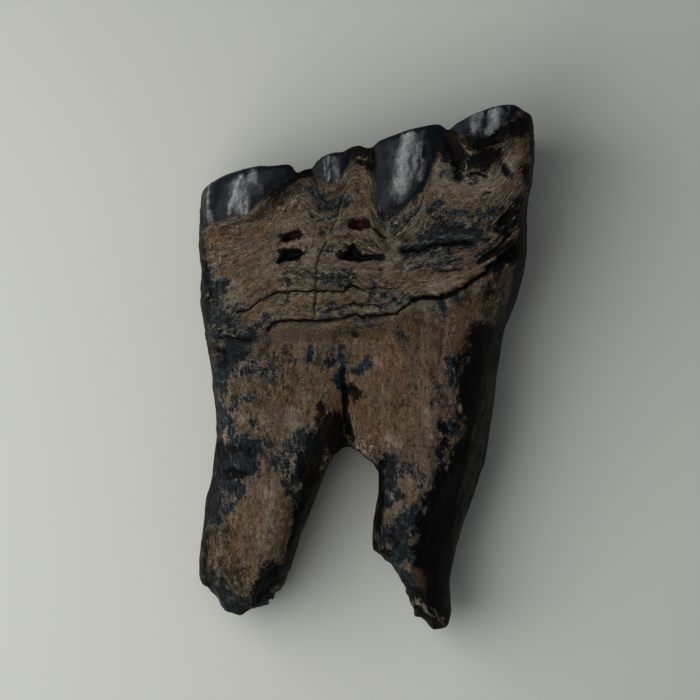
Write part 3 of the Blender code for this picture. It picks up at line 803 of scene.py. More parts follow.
# Each crack's half width, depth and path
CRACKS = (
    (0.09, 0.3, UPPER_CRACK_PATH), (0.10, 0.4, MAIN_CRACK_PATH), (0.2, 0.8, OPEN_CRACK_PATH),
    (0.10, 0.3, ((-14.2, 3.0), (-13.0, 2.6), (-11.6, 2.5), (-10.2, 2.4))),
    (0.06, 0.18, ((-0.8, 6.9), (2.6, 6.9))),
    (0.06, 0.18, ((-2.8, 5.2), (-1.5, 5.4), (-0.1, 5.4), (1.2, 5.3), (2.0, 5.6), (2.6, 6.0))),
    (0.07, 0.18, (
        (-3.6, 11.1), (-4.0, 10.4), (-4.2, 9.7), (-4.5, 8.9), (-4.4, 8.4), (-4.5, 6.8), (-4.6, 4.4))),
    (0.05, 0.1, ((1.2, 9.3), (1.1, 7.3), (1.2, 6.0))),
    (0.05, 0.14, ((-2.1, 14.9), (-2.4, 13.7), (-2.5, 13.2), (-2.7, 12.5), (-3.1, 12.0))),
    (0.09, 0.25, ((0.6, 12.2), (1.2, 11.6), (1.6, 11.2))),
    (0.13, 0.45, ((3.2, 10.2), (4.5, 10.2), (5.0, 10.5), (6.4, 10.8), (7.8, 10.9), (9.1, 11.0))),
    (0.12, 0.45, ((10.3, 9.7), (10.8, 10.0), (11.6, 10.6), (12.2, 11.1), (12.6, 11.6))),
    (0.12, 0.45, ((12.0, 9.3), (12.4, 9.7), (13.1, 10.2), (13.6, 10.8))),
    (0.13, 0.5, ((-1.9, -1.8), (-1.8, -3.7), (-1.8, -5.1), (-1.5, -5.7), (-1.3, -6.2))),
    (0.09, 0.3, ((-1.9, -1.8), (-1.3, -2.0), (-0.9, -2.2))),
    (0.05, 0.1, ((1.2, 7.4), (2.5, 7.1), (3.4, 7.4))), (0.08, 0.2, ((10.1, 15.0), (10.8, 15.3))),
    (0.10, 0.25, ((9.1, 16.9), (10.2, 16.9))), (0.08, 0.2, ((6.4, 8.4), (8.4, 8.6))),
    (0.09, 0.3, ((-12.2, -8.8), (-11.4, -9.0), (-10.8, -9.2))),
    (0.10, 0.3, ((-14.3, 9.3), (-13.9, 7.6), (-13.5, 6.6))),
)
print(len(CRACKS), "cracks")

# %% [markdown]
# ## Pits
# Where two sheets of cement parted, four pits with ragged mouths go deep in. Each is a closed outline, and
# its wall falls steeply just inside it. Shallower hollows are short, wide strokes.

# %% Pits and hollows
PIT_OUTLINES = (
    ((-7.5, 11.2), (-6.8, 11.9), (-6.2, 12.1), (-5.5, 11.7), (-6.3, 11.3), (-7.1, 11.0)),
    ((-1.8, 12.3), (-1.3, 12.8), (-0.8, 13.1), (-0.3, 12.8), (0.4, 12.4), (-0.4, 12.0), (-1.3, 12.1)),
    ((-7.8, 9.3), (-7.3, 9.8), (-7.2, 10.3), (-5.8, 10.4), (-5.6, 9.8), (-6.6, 9.4), (-7.3, 9.2)),
    (
        (-2.6, 9.6), (-1.9, 10.0), (-1.6, 10.5), (-1.4, 11.0), (-1.1, 11.0), (-0.9, 10.5), (-0.4, 9.9),
        (0.4, 9.7), (1.2, 9.6), (0.1, 9.3), (-1.5, 9.3),
    ),
)
PIT_DEPTH = 0.7
HOLLOWS = (
    (0.35, 0.3, ((-7.3, 7.7), (-6.8, 7.4))), (0.3, 0.25, ((-2.2, 8.0), (-1.9, 7.5))),
    (0.45, 0.5, ((8.0, 17.8), (8.2, 16.6))), (0.5, 0.6, ((9.0, 19.6), (11.5, 20.0))),
    (0.3, 0.4, ((12.0, 17.6), (12.3, 17.2))), (0.25, 0.3, ((-1.0, 2.9), (-0.8, 2.7))),
    (0.35, 0.35, ((1.6, -8.4), (2.0, -8.9))), (0.3, 0.3, ((2.0, -14.9), (2.5, -15.8))),
    (0.30, 0.3, ((-2.2, -0.4), (-2.1, -1.4))), (0.35, 0.4, ((12.5, 13.6), (11.8, 12.9))),
    (0.25, 0.35, ((-12.9, 3.5), (-13.0, 3.2))), (0.4, 0.4, ((-12.8, 1.0), (-12.6, 0.2))),
    (0.4, 0.4, ((7.2, 19.9), (7.4, 19.0))),
)
print(len(PIT_OUTLINES), "pits and", len(HOLLOWS), "hollows")

# %% [markdown]
# ## Cutting them in
# The deeper of crack and pit is taken out of the relief at each point, and so is every hollow. The lower
# lip of the open crack is raised and uneven, since there the cement has crumbled.

# %% Cut the cracks and pits
LIP = (0.7, 0.3)        # half width and height of the open crack's lower lip
LIP_DROP = 0.9          # how far below the crack it runs
CRACK_SPREAD = 0.08     # the relief of a crack is this much wider than its colour, or the grid misses it
NO_CRACK = 9.0


def from_cracks(x, y):
    """The distance from the nearest crack in its own half widths, and its depth. The distance has a sign
    for the side, so that it passes through zero between two points of the grid."""
    ratio, depth = np.full(len(x), NO_CRACK), np.zeros(len(x))
    for width, deep, path in CRACKS:
        for (ax, ay), (bx, by) in zip(path, path[1:]):
            reach = 4 * (width + CRACK_SPREAD)
            near = np.flatnonzero(
                (x > min(ax, bx) - reach) & (x < max(ax, bx) + reach)
                & (y > min(ay, by) - reach) & (y < max(ay, by) + reach))
            away = from_path(x[near], y[near], ((ax, ay), (bx, by))) / width
            side_of = np.sign((bx - ax) * (y[near] - ay) - (by - ay) * (x[near] - ax) + 1e-9)
            closer = away < np.abs(ratio[near])
            ratio[near[closer]] = (away * side_of)[closer]
            spread = bell(away * width, width + CRACK_SPREAD)
            depth[near] = np.maximum(depth[near], deep * spread)
    return ratio, depth


crack_x = bent_x - 0.5 * WOBBLE * rough(points, 0.5, 2, 81)
crack_y = bent_y - 0.5 * WOBBLE * rough(points, 0.5, 2, 83)
crack_ratio, crack_depth = from_cracks(crack_x, crack_y)
from_pit = np.min([from_outline(crack_x, crack_y, outline) for outline in PIT_OUTLINES], axis=0)
pits = PIT_DEPTH * ramp(-from_pit, -0.12, 0.3)
hollows = painted(HOLLOWS, crack_x, crack_y)
lip_path = [(place, down - LIP_DROP) for place, down in OPEN_CRACK_PATH]
lower_lip = painted([(*LIP, lip_path)], bent_x, bent_y)
relief += on_front * (lower_lip * (1 + 2 * crumbs) - np.maximum(crack_depth, pits) - hollows)
print("the deepest crack is", round(crack_depth.max(), 2), "mm, and the pits", PIT_DEPTH, "mm")

# %% [markdown]
# ## Breaks and the chewing surface
# A root breaks into small flat facets. Noise folded at zero gives them. The chewing surface shows
# the same three materials as the front: enamel stands up in thin winding walls, because it is the
# hardest, with softer dentine inside the walls and cement outside them.

# %% Breaks and chewing surface
BREAK_RELIEF = 0.45
# A deeper facet in the left root's break, as an outline
HOLLOW_FACET = ((-6.6, -16.9), (-7.9, -17.3), (-8.8, -17.9), (-9.5, -18.6), (-9.8, -19.2), (-9.9, -20.0),
                (-10.0, -20.8), (-9.8, -21.6), (-8.0, -21.4), (-6.2, -19.0))
HOLLOW_DEPTH = 0.9
# The middle lines of the dentine seen from the chewing end, as (x, z)
DENTINE = (
    (1.1, 1, ((-12.6, 7.5), (-12.2, 4.6), (-9.0, 2.9), (-6.0, 2.9), (-3.6, 4.9), (-2.6, 7.6))),
    (1.1, 1, ((0.9, 8.0), (2.0, 5.0), (5.0, 3.0), (9.0, 3.4), (12.0, 5.6), (12.8, 8.4))),
    (0.9, 1, ((-12.6, 7.5), (-12.8, 11.4), (-10.0, 13.2), (-8.4, 12.6))),
    (0.9, 1, ((-2.6, 7.6), (-2.4, 11.6), (-3.4, 13.6))), (0.8, 1, ((-2.6, 9.6), (0.9, 8.0))),
    (0.9, 1, ((0.9, 8.0), (1.6, 11.6), (4.2, 13.4), (6.0, 12.2))),
    (0.8, 1, ((12.8, 8.4), (12.4, 12.4), (10.0, 13.2))),
)
DENTINE_DIP = 0.35          # how much lower the soft dentine has worn
WALL_HEIGHT = 0.35
WALL_SHARE = 0.24           # its half width, as a share of a dentine stroke
WALL_PLACE = 0.42           # the share of a dentine stroke at which its wall stands

broken = cap == BREAK
facets = np.abs(lattice(points, 2.3, 91)) + 0.5 * np.abs(lattice(points, 1.0, 93)) - 0.6
relief += broken * (BREAK_RELIEF * facets + 0.08 * rough(points, 0.5, 2, 95))
in_hollow = ramp(-from_outline(bent_x, bent_y, HOLLOW_FACET), -0.1, 1.1) * (normals[:, 2] > 0)
relief -= HOLLOW_DEPTH * in_hollow * broken
chewing = cap == CHEWING
bent_z = z + 0.25 * rough(points, 1.6, 2, 97)
dentine = painted(DENTINE, bent_x, bent_z) * chewing
wall = bell(dentine - WALL_PLACE, WALL_SHARE) * chewing
relief += WALL_HEIGHT * wall - chewing * (
    DENTINE_DIP * ramp(dentine, 0.5, 0.9) + 0.1 * rough(points, 0.9, 3, 99))
print(broken.sum(), "points on breaks,", chewing.sum(), "on the chewing surface")

# %% [markdown]
# ## Raising the relief and wearing the edges
# The relief is laid off along each point's normal. Then every sharp edge is worn: a point near an edge
# moves towards the average of the points it is joined to, a few times over. The same averages, taken
# further, tell a hollow from a ridge, and the colour darkens hollows with dirt and painted shade.

# %% Displace and wear
EDGE_ROUNDS = 5            # how far wear reaches from an edge, in points
WEAR_ROUNDS = 7
WEAR = 0.5
HOLLOW_ROUNDS = 10         # about 0.5 mm
# How far the relief may pass the CAD box, in x, y and z
SLACK_BELOW = (0.3, 0.3, 0)
SLACK_ABOVE = (0.3, 0.3, 0.2)

edges = np.empty(2 * len(mesh.edges), np.int32)
mesh.edges.foreach_get("vertices", edges)
edges = edges.reshape(-1, 2)
joined = np.bincount(edges.ravel(), minlength=count)


def neighbours_mean(values):
    """The average of one number over the points that each point is joined to."""
    first, second = edges.T
    total = np.bincount(first, values[second], count) + np.bincount(second, values[first], count)
    return total / joined


def smoothed(places, share, rounds):
    """Places moved by a share of the way to their neighbours' average, several times over."""
    for _ in range(rounds):
        average = np.stack([neighbours_mean(column) for column in places.T], axis=-1)
        places = places + (average - places) * share
    return places


sheet_kind = np.where(cap == INNER_WALL, OUTSIDE, cap)
changes = np.abs(sheet_kind[edges[:, 0]] - sheet_kind[edges[:, 1]]) > 0
near_edge = np.zeros(count)
near_edge[edges[changes].ravel()] = 1.0
for _ in range(EDGE_ROUNDS):
    near_edge = np.maximum(near_edge, neighbours_mean(near_edge))
points = points + relief[:, None] * normals
points = smoothed(points, WEAR * ramp(near_edge, 0.02, 0.5)[:, None], WEAR_ROUNDS)
lowest, highest = (np.array(corner) / MM for corner in cad_box)
points = np.clip(points, lowest - SLACK_BELOW, highest + SLACK_ABOVE)
hollow = np.einsum("ij,ij->i", smoothed(points, 0.7, HOLLOW_ROUNDS) - points, normals)
print("hollows to", round(hollow.max(), 2), "mm, ridges to", round(-hollow.min(), 2), "mm")

# %% [markdown]
# ## From the photo to the tooth
# Each stain is a stroke too: a half width, a strength, and then the places of its path, x and y by
# turns. They are in pixels of the photo, where they were chosen on enlarged views, and helpers turn
# them into millimetres. Ink soaks outwards, so most blue and black strokes grow past what was drawn.

# %% From pixels to millimetres
PIXEL = 0.0882                  # how many millimetres of the tooth one pixel shows
PHOTO_WIDTH = 700
PHOTO_ORIGIN = (367, 367.5)     # the pixel that lies over the tooth's origin
SOAKING = 1.2                   # how much wider ink is than the stroke that was drawn for it


def from_photo(path):
    """Pixels (x, y, x, y and so on) as points in millimetres: less the origin, times the scale, y up."""
    return (np.reshape(path, (-1, 2)) - PHOTO_ORIGIN) * (PIXEL, -PIXEL)


def in_millimetres(strokes):
    """The same strokes with their half widths and paths in millimetres."""
    return [(width * PIXEL, strength, from_photo(path)) for width, strength, *path in strokes]


def soaked(*strokes):
    """The same strokes with their half widths multiplied by the soaking."""
    return [(width * SOAKING, *rest) for width, *rest in strokes]


print("the photo is", round(PHOTO_WIDTH * PIXEL, 1), "mm wide at the tooth")

# %% [markdown]
# ## Browns
# Iron left rusty spots, and cement that was worn pale shows along the ridges. Both could be noise
# alone, but then they would lie in the wrong places.

# %% Orange and pale strokes
ORANGE = (
    (6, 0.7, 500, 250, 512, 238), (5, 0.6, 266, 316, 272, 322), (4, 0.6, 480, 262, 490, 258),
    (9, 1.0, 360, 395, 366, 412, 372, 430), (9, 0.8, 214, 240, 240, 236, 262, 232),
    (10, 0.6, 205, 255, 230, 262, 250, 255), (7, 0.5, 262, 250, 280, 246), (6, 0.6, 300, 203, 310, 215),
    (9, 0.7, 366, 166, 360, 180, 350, 195, 366, 200, 371, 185), (8, 0.6, 352, 208, 368, 214),
    (7, 0.7, 357, 222, 372, 226), (8, 0.6, 270, 300, 262, 312, 250, 318), (6, 0.6, 278, 284, 274, 292),
    (8, 0.7, 303, 300, 300, 316), (5, 0.5, 290, 304, 312, 304), (7, 0.6, 385, 282, 405, 276, 425, 272),
    (7, 0.6, 440, 282, 460, 279, 478, 270), (5, 0.6, 458, 268, 470, 264),
    (14, 0.8, 375, 335, 388, 350, 378, 380), (12, 0.6, 400, 330, 420, 325, 440, 330),
    (12, 0.8, 455, 318, 470, 305, 482, 300), (8, 0.8, 490, 285, 500, 275), (16, 0.7, 400, 365, 395, 395),
    (10, 0.9, 360, 400, 366, 420, 376, 440), (9, 0.7, 352, 378, 358, 392), (6, 0.6, 330, 395, 335, 410),
    (10, 0.6, 425, 350, 430, 372), (8, 0.8, 450, 340, 460, 335), (7, 0.9, 466, 345, 462, 365),
    (10, 0.9, 525, 138, 526, 155, 522, 175), (5, 0.8, 530, 180, 529, 200), (6, 0.7, 512, 190, 520, 200),
    (5, 0.9, 512, 240, 500, 252), (9, 0.7, 240, 505, 236, 540, 232, 560), (8, 0.7, 208, 545, 206, 565),
    (8, 0.6, 262, 500, 256, 530), (10, 0.5, 285, 500, 288, 530), (7, 0.7, 378, 525, 380, 545),
    (6, 0.8, 416, 570, 423, 580, 421, 592), (7, 0.7, 425, 540, 432, 560), (8, 0.5, 396, 515, 412, 505),
    (6, 0.6, 432, 480, 442, 488), (10, 0.4, 450, 415, 455, 440), (6, 0.6, 445, 460, 452, 470),
    (10, 0.4, 285, 330, 320, 335), (12, 0.3, 270, 350, 290, 380), (6, 0.7, 215, 352, 218, 362),
    (9, 0.6, 300, 178, 310, 186), (8, 0.5, 468, 148, 456, 140), (6, 0.5, 520, 215, 526, 225),
    (9, 0.9, 334, 402, 340, 416, 346, 398), (9, 0.8, 360, 360, 366, 378), (6, 0.7, 494, 256, 508, 244),
    (10, 0.9, 464, 312, 468, 330, 462, 344), (5, 0.8, 518, 184, 520, 196), (7, 0.5, 486, 196, 510, 188),
    (6, 0.6, 242, 494, 246, 502), (5, 0.6, 262, 318, 270, 322), (5, 0.6, 506, 300, 508, 316),
)
PALE = (
    (5, 0.5, 436, 266, 448, 266), (7, 0.5, 428, 348, 434, 358), (4, 0.6, 396, 240, 400, 248),
    (6, 0.6, 374, 350, 378, 366), (5, 0.6, 308, 262, 314, 270), (16, 0.35, 242, 268, 258, 280),
    (6, 0.6, 236, 297, 256, 298), (4, 0.6, 356, 272, 368, 276), (7, 0.5, 450, 208, 478, 208),
    (4, 0.6, 450, 164, 456, 168), (5, 0.5, 415, 318, 425, 322), (4, 0.6, 328, 220, 338, 222),
    (6, 0.5, 316, 264, 328, 266), (18, 0.34, 250, 520, 252, 560), (10, 0.3, 300, 215, 322, 228),
    (6, 0.8, 438, 172, 440, 160, 446, 156), (12, 0.7, 236, 290, 228, 300), (8, 0.5, 262, 275, 275, 268),
    (10, 0.5, 225, 222, 245, 226), (8, 0.5, 280, 222, 300, 222), (9, 0.4, 320, 222, 335, 215),
    (8, 0.4, 320, 262, 340, 262), (8, 0.4, 300, 270, 312, 282), (16, 0.9, 440, 190, 470, 188, 490, 186),
    (12, 0.8, 500, 178, 512, 160, 505, 150), (8, 0.7, 446, 162, 445, 175), (6, 0.6, 412, 232, 425, 222),
    (9, 0.5, 394, 252, 388, 265), (12, 0.7, 430, 288, 455, 284), (7, 0.5, 412, 300, 425, 306),
    (9, 0.4, 400, 262, 415, 268), (10, 0.8, 290, 412, 296, 430), (9, 0.5, 240, 372, 246, 385),
    (7, 0.7, 241, 412, 245, 420), (9, 0.5, 262, 415, 270, 430), (10, 0.4, 300, 385, 305, 400),
    (12, 0.6, 268, 490, 270, 520, 262, 550), (8, 0.4, 236, 520, 240, 500), (12, 0.5, 428, 410, 432, 440),
    (8, 0.6, 386, 436, 398, 446), (12, 0.5, 404, 480, 415, 490), (8, 0.5, 400, 508, 390, 515),
    (8, 0.4, 420, 445, 425, 470), (9, 0.4, 400, 300, 390, 325), (8, 0.5, 440, 300, 450, 310),
    (14, 0.3, 395, 420, 400, 440), (9, 0.4, 360, 440, 372, 455), (10, 0.4, 320, 245, 330, 240),
    (5, 0.6, 200, 232, 200, 260, 202, 280), (10, 0.3, 300, 345, 330, 350), (3, 0.7, 216, 568, 218, 580),
    (6, 0.4, 455, 222, 470, 226), (6, 0.4, 505, 262, 496, 272),
)
print(len(ORANGE), "orange and", len(PALE), "pale strokes")

# %% [markdown]
# ## Olive
# Clay from the ground has stayed in the dips, most of all beside the lobes and on the left root. Its
# bands are long and narrow there, so their strokes follow the shape. Along the left edge an olive stroke
# is also painted shade.

# %% Olive strokes
OLIVE = (
    (12, 0.6, 226, 525, 232, 555, 240, 582), (8, 0.45, 262, 560, 268, 575),
    (12, 0.45, 238, 372, 262, 380, 285, 384), (8, 0.5, 216, 530, 222, 560, 234, 585),
    (5, 0.6, 368, 190, 376, 212, 384, 224), (6, 0.5, 300, 190, 296, 204, 284, 214),
    (9, 0.55, 212, 205, 214, 240, 214, 262), (6, 0.7, 205, 238, 230, 228, 255, 218, 275, 205),
    (4, 0.6, 318, 190, 330, 196, 344, 186), (8, 0.6, 455, 150, 470, 160, 462, 176),
    # The second stroke on the next line runs along the left edge: clay colour and painted shade.
    (5, 0.5, 402, 262, 430, 270, 460, 266), (7, 0.8, 204, 240, 207, 265, 209, 290),
    (6, 0.8, 214, 395, 218, 425), (7, 0.7, 214, 520, 208, 545, 212, 570),
    (7, 0.6, 262, 352, 278, 356, 294, 360), (5, 0.7, 385, 222, 390, 228, 397, 222),
    (7, 0.6, 356, 395, 364, 410, 370, 428), (7, 0.9, 264, 212, 282, 198, 300, 186),
    (4, 0.7, 374, 215, 380, 240, 388, 250), (5, 0.7, 484, 306, 494, 290, 506, 276),
    (9, 0.8, 498, 290, 502, 310, 498, 325), (6, 0.6, 460, 300, 468, 292),
    (7, 0.8, 312, 178, 316, 195, 322, 208, 336, 208, 344, 198), (9, 0.9, 268, 198, 280, 190, 295, 185),
    (5, 0.45, 318, 230, 332, 233, 346, 229), (6, 0.6, 322, 252, 336, 248), (8, 0.5, 350, 240, 372, 248),
    (10, 0.7, 385, 215, 395, 228, 380, 225), (7, 0.4, 424, 172, 416, 195, 406, 213),
    (9, 0.8, 376, 160, 380, 195), (14, 0.8, 470, 150, 490, 152, 505, 142), (9, 0.7, 485, 168, 478, 175),
    (5, 0.6, 468, 184, 478, 186), (6, 0.6, 500, 206, 515, 200), (8, 0.5, 395, 236, 410, 240),
    (12, 0.7, 240, 325, 250, 338), (6, 0.5, 262, 330, 268, 345), (8, 0.6, 250, 355, 262, 366),
    (8, 0.5, 235, 398, 258, 402), (9, 0.6, 225, 408, 230, 425), (9, 0.7, 250, 440, 270, 445),
    (8, 0.6, 272, 465, 282, 455), (7, 0.4, 268, 375, 270, 400), (7, 0.5, 315, 360, 330, 370),
    (9, 0.5, 320, 355, 338, 372), (7, 0.4, 285, 370, 300, 378), (6, 0.5, 350, 360, 362, 365),
    (8, 0.6, 342, 330, 360, 335), (7, 0.6, 395, 335, 405, 340), (5, 0.6, 430, 370, 440, 395, 432, 405),
    (8, 0.5, 440, 400, 446, 410), (8, 0.5, 405, 465, 420, 478), (8, 0.6, 425, 495, 418, 505),
    (8, 0.5, 440, 440, 448, 450), (8, 0.55, 366, 446, 380, 456), (9, 0.6, 360, 325, 385, 320),
    (8, 0.6, 300, 275, 310, 272), (5, 0.4, 283, 300, 292, 310), (9, 0.6, 355, 448, 345, 440),
    (8, 0.5, 365, 458, 376, 468), (9, 0.5, 215, 390, 222, 398), (8, 0.6, 300, 455, 296, 480),
    (8, 0.5, 480, 225, 490, 215), (7, 0.5, 205, 225, 204, 215), (6, 0.5, 380, 555, 392, 562),
    (6, 0.6, 240, 588, 250, 600), (7, 0.5, 212, 578, 222, 590), (8, 0.5, 240, 412, 262, 428),
    (8, 0.7, 222, 560, 228, 576, 236, 586), (7, 0.6, 296, 184, 304, 192), (7, 0.8, 474, 306, 488, 312),
    (6, 0.5, 220, 240, 224, 256), (5, 0.5, 364, 440, 376, 443), (7, 0.6, 286, 350, 290, 358),
    (5, 0.6, 352, 162, 356, 170), (7, 0.7, 286, 188, 302, 190),
)
print(len(OLIVE), "olive strokes")

# %% [markdown]
# ## Blue-black
# Manganese came with the ground water, so it left its blue-black along cracks and in low places. Its
# patches are many and ragged, so the strokes give their places and noise gives their shapes.

# %% Blue-black strokes
BLUE_BLACK = (
    *soaked(
        (6, 1, 208, 272, 206, 290, 208, 310, 210, 326), (4, 0.9, 214, 284, 228, 284),
        (6, 0.4, 222, 304, 232, 308), (7, 0.9, 216, 322, 218, 338),
        (9, 1, 232, 334, 236, 348, 226, 362, 220, 376), (6, 0.8, 244, 342, 252, 336),
        (5, 0.7, 240, 356, 250, 350), (4, 0.6, 252, 330, 262, 326), (5, 0.6, 268, 318, 274, 326),
        (5, 0.61, 322, 192, 324, 202), (3, 0.5, 312, 188, 314, 200), (3, 0.43, 336, 206, 346, 196),
        (3, 0.36, 320, 234, 334, 234), (3, 0.29, 338, 228, 346, 232), (3, 0.43, 326, 254, 336, 250),
        (5, 0.61, 322, 276, 336, 280, 350, 275), (4, 0.72, 344, 274, 348, 284),
        (3.5, 0.58, 382, 296, 392, 298), (4.5, 0.5, 284, 276, 290, 284), (3, 0.36, 286, 292, 290, 300),
        (4, 0.58, 332, 302, 330, 312, 324, 318), (3.5, 0.58, 340, 308, 348, 316),
        (3, 0.5, 352, 306, 370, 308, 388, 307), (3.5, 0.58, 396, 302, 408, 298),
        (4, 0.36, 356, 320, 372, 324), (4, 0.58, 398, 328, 402, 338), (5, 0.72, 440, 304, 443, 312),
        (4, 0.5, 452, 300, 460, 296), (5, 0.6, 430, 210, 440, 205),
        (8, 0.75, 424, 238, 444, 230, 460, 230, 474, 237), (6, 0.6, 448, 216, 466, 216),
        (7, 0.6, 482, 216, 498, 210), (5, 0.6, 478, 232, 486, 242),
        (6, 0.86, 404, 252, 418, 250, 432, 245, 452, 243, 472, 243), (4, 0.52, 486, 228, 496, 222),
        (5, 0.6, 440, 262, 450, 258), (4, 0.48, 424, 264, 432, 268), (6, 0.43, 400, 216, 388, 212),
        (5, 0.43, 388, 228, 396, 236), (5, 0.82, 458, 164, 460, 178), (4, 0.52, 468, 180, 476, 182),
        (4, 0.52, 440, 178, 448, 176), (4, 0.6, 502, 166, 508, 176), (5, 0.7, 340, 350, 343, 372),
        (4, 0.9, 336, 378, 342, 388), (4, 0.6, 312, 350, 308, 362), (5, 0.5, 328, 352, 330, 366),
        (5, 0.9, 366, 362, 360, 368), (6, 0.7, 450, 362, 452, 380), (7, 0.25, 440, 388, 434, 402),
        (7, 1, 446, 425, 454, 428), (6, 0.6, 222, 440, 220, 460), (10, 0.95, 236, 444, 256, 448, 230, 460),
        (12, 1, 214, 468, 232, 470, 248, 464), (12, 0.85, 218, 484, 234, 487),
        (9, 0.95, 214, 500, 216, 518), (6, 0.6, 226, 510, 232, 504), (8, 0.9, 302, 436, 312, 444),
        (7, 0.7, 290, 446, 300, 462, 294, 478), (5, 0.5, 280, 452, 276, 468), (5, 0.6, 286, 484, 296, 500),
        (7, 0.95, 386, 462, 392, 470, 388, 482), (6, 0.6, 400, 472, 412, 468),
        (4, 0.6, 424, 478, 420, 484), (6, 0.9, 384, 496, 390, 502), (5, 0.6, 392, 488, 400, 496),
        (10, 0.95, 388, 535, 400, 530, 410, 518), (9, 0.95, 398, 545, 408, 552, 398, 556),
        (7, 0.7, 418, 512, 412, 526), (5, 0.5, 244, 400, 252, 396), (4, 0.5, 232, 412, 236, 404),
        (4, 0.5, 250, 422, 258, 430),
    ),
    (8, 0.35, 234, 308, 246, 308), (5, 0.7, 441, 458, 443, 468), (5.0, 0.55, 373, 282, 374, 292, 370, 302),
    (5.0, 0.6, 427, 170, 421, 186, 412, 200), (3.5, 0.45, 312, 196, 322, 211, 338, 209, 352, 195),
    (3, 0.5, 302, 206, 320, 222, 342, 214, 358, 194),
    (3.5, 0.6, 377, 196, 383, 214, 393, 227, 405, 222, 420, 206), (7, 0.45, 420, 227, 446, 218),
    (6, 0.4, 458, 222, 470, 222), (7, 0.5, 386, 212, 392, 228), (6, 0.5, 404, 226, 414, 214),
    (3, 0.6, 470, 262, 492, 246, 508, 228), (2.5, 0.6, 400, 272, 430, 264, 462, 262),
    (10, 0.5, 232, 372, 250, 364, 276, 374), (8, 0.7, 216, 306, 226, 318, 234, 322),
    (8, 0.6, 288, 460, 284, 476), (6, 0.55, 428, 256, 446, 252), (9, 0.65, 221, 408, 226, 424, 234, 440),
    (4, 0.5, 318, 308, 326, 312), (5, 0.5, 340, 286, 348, 290), (5, 0.5, 428, 306, 436, 312),
    (5, 0.6, 404, 296, 416, 300), (7, 0.8, 210, 284, 214, 298, 222, 290), (8, 0.75, 221, 370, 222, 390),
    (7, 0.5, 222, 490, 224, 500),
)
print(len(BLUE_BLACK), "blue-black strokes")

# %% [markdown]
# ## Black
# The blackest parts are the insides of the roots, the side face and the dips below the rim. These strokes
# are stain in the cement, and painted shade where the shape alone doesn't darken enough, on the insides of
# the roots and along the left edge.

# %% Black strokes
BLACK = (
    *soaked(
        (7, 1.0, 270, 174, 284, 172, 293, 172), (5, 1.0, 294, 180, 300, 176, 318, 172),
        (6, 0.8, 284, 186, 275, 196), (5, 0.9, 350, 156, 358, 150, 366, 156),
        (4, 0.8, 372, 152, 376, 166, 378, 182), (3, 0.8, 358, 162, 376, 168),
        (9, 1.0, 446, 134, 450, 148, 456, 160), (9, 0.9, 478, 142, 500, 136),
        (8, 0.7, 474, 166, 486, 160, 496, 158), (8, 1.0, 512, 130, 530, 124), (5, 0.9, 528, 116, 533, 130),
        (3, 1.0, 534, 140, 534, 170, 533, 200), (5, 0.8, 524, 168, 528, 185),
        (4, 0.9, 494, 270, 504, 260, 516, 250), (6, 0.9, 512, 262, 520, 252), (4, 1.0, 284, 238, 298, 235),
        (5, 1.0, 284, 255, 298, 253), (3, 1.0, 280, 260, 298, 259), (5, 1.0, 350, 250, 356, 256),
        (3.5, 1.0, 340, 257, 360, 258, 380, 259), (5, 0.9, 350, 226, 366, 224),
        (4, 0.9, 216, 350, 226, 352), (10, 1.0, 270, 574, 280, 582, 262, 592),
        (3, 0.9, 346, 390, 347, 410, 348, 432), (3, 0.8, 344, 370, 342, 388), (6, 0.9, 350, 390, 356, 394),
        (9, 1.0, 482, 332, 478, 350, 472, 372, 470, 395), (7, 1.0, 466, 380, 464, 400, 470, 412),
        (8, 1.0, 462, 452, 456, 470, 448, 490), (9, 1.0, 442, 500, 434, 520, 430, 540, 436, 560),
        (10, 1.0, 446, 480, 444, 520, 442, 560, 440, 590), (6, 1.0, 430, 598, 438, 612, 444, 618),
        (5, 0.9, 416, 548, 420, 560), (3, 1.0, 381, 462, 381, 500, 378, 530), (4, 0.9, 378, 548, 386, 552),
        (4, 0.9, 393, 568, 402, 580), (5, 0.7, 444, 442, 440, 456), (4, 0.8, 432, 492, 424, 502),
        (5, 0.7, 462, 352, 458, 372), (5, 0.8, 460, 405, 462, 420), (5, 0.6, 200, 215, 204, 225),
        (3, 0.7, 205, 470, 202, 520), (4, 0.8, 424, 604, 416, 592), (6, 1.0, 425, 618, 434, 628, 442, 626),
        (4, 0.8, 448, 430, 440, 424),
    ),
    (4, 0.85, 205, 276, 206, 300, 207, 325), (4, 0.7, 201, 235, 203, 262, 203, 290),
    (4, 0.7, 207, 540, 202, 560, 206, 580), (3.5, 0.6, 212, 425, 213, 445),
    (5, 0.55, 484, 300, 490, 286, 496, 276), (2.5, 0.9, 501, 355, 499, 385, 496, 412, 492, 440),
    (2, 0.7, 522, 262, 516, 290), (3, 0.75, 201, 300, 204, 330, 209, 362, 213, 395, 216, 425),
    (3, 0.8, 215, 450, 214, 472, 208, 500, 203, 535), (2.5, 0.7, 200, 235, 199, 262, 200, 290),
    (2.5, 0.8, 519, 252, 514, 285, 506, 325, 500, 352), (6, 0.8, 518, 200, 526, 206),
    (8, 1.0, 503, 221, 512, 214, 520, 223), (6.5, 1.0, 521, 212, 527, 240, 522, 250),
    (5, 0.8, 506, 236, 496, 230), (3.4, 0.7, 478, 263, 490, 256, 502, 249, 510, 243),
    (8, 0.55, 220, 470, 242, 476), (5, 0.9, 219, 440, 222, 456), (6, 0.8, 422, 518, 416, 530),
    (7, 0.5, 230, 448, 250, 450), (4, 0.8, 204, 282, 208, 296), (15, 1.0, 329, 425, 328, 434, 340, 446),
    (12, 1.0, 319, 440, 313, 455, 309, 475), (7.5, 1.0, 307, 480, 305, 500, 299, 515),
    (5.5, 1.0, 299, 520, 293, 545, 288, 562), (5, 0.8, 418, 600, 422, 610), (5, 0.8, 442, 150, 443, 160),
    (5, 0.7, 320, 404, 324, 412),
)
print(len(BLACK), "black strokes")
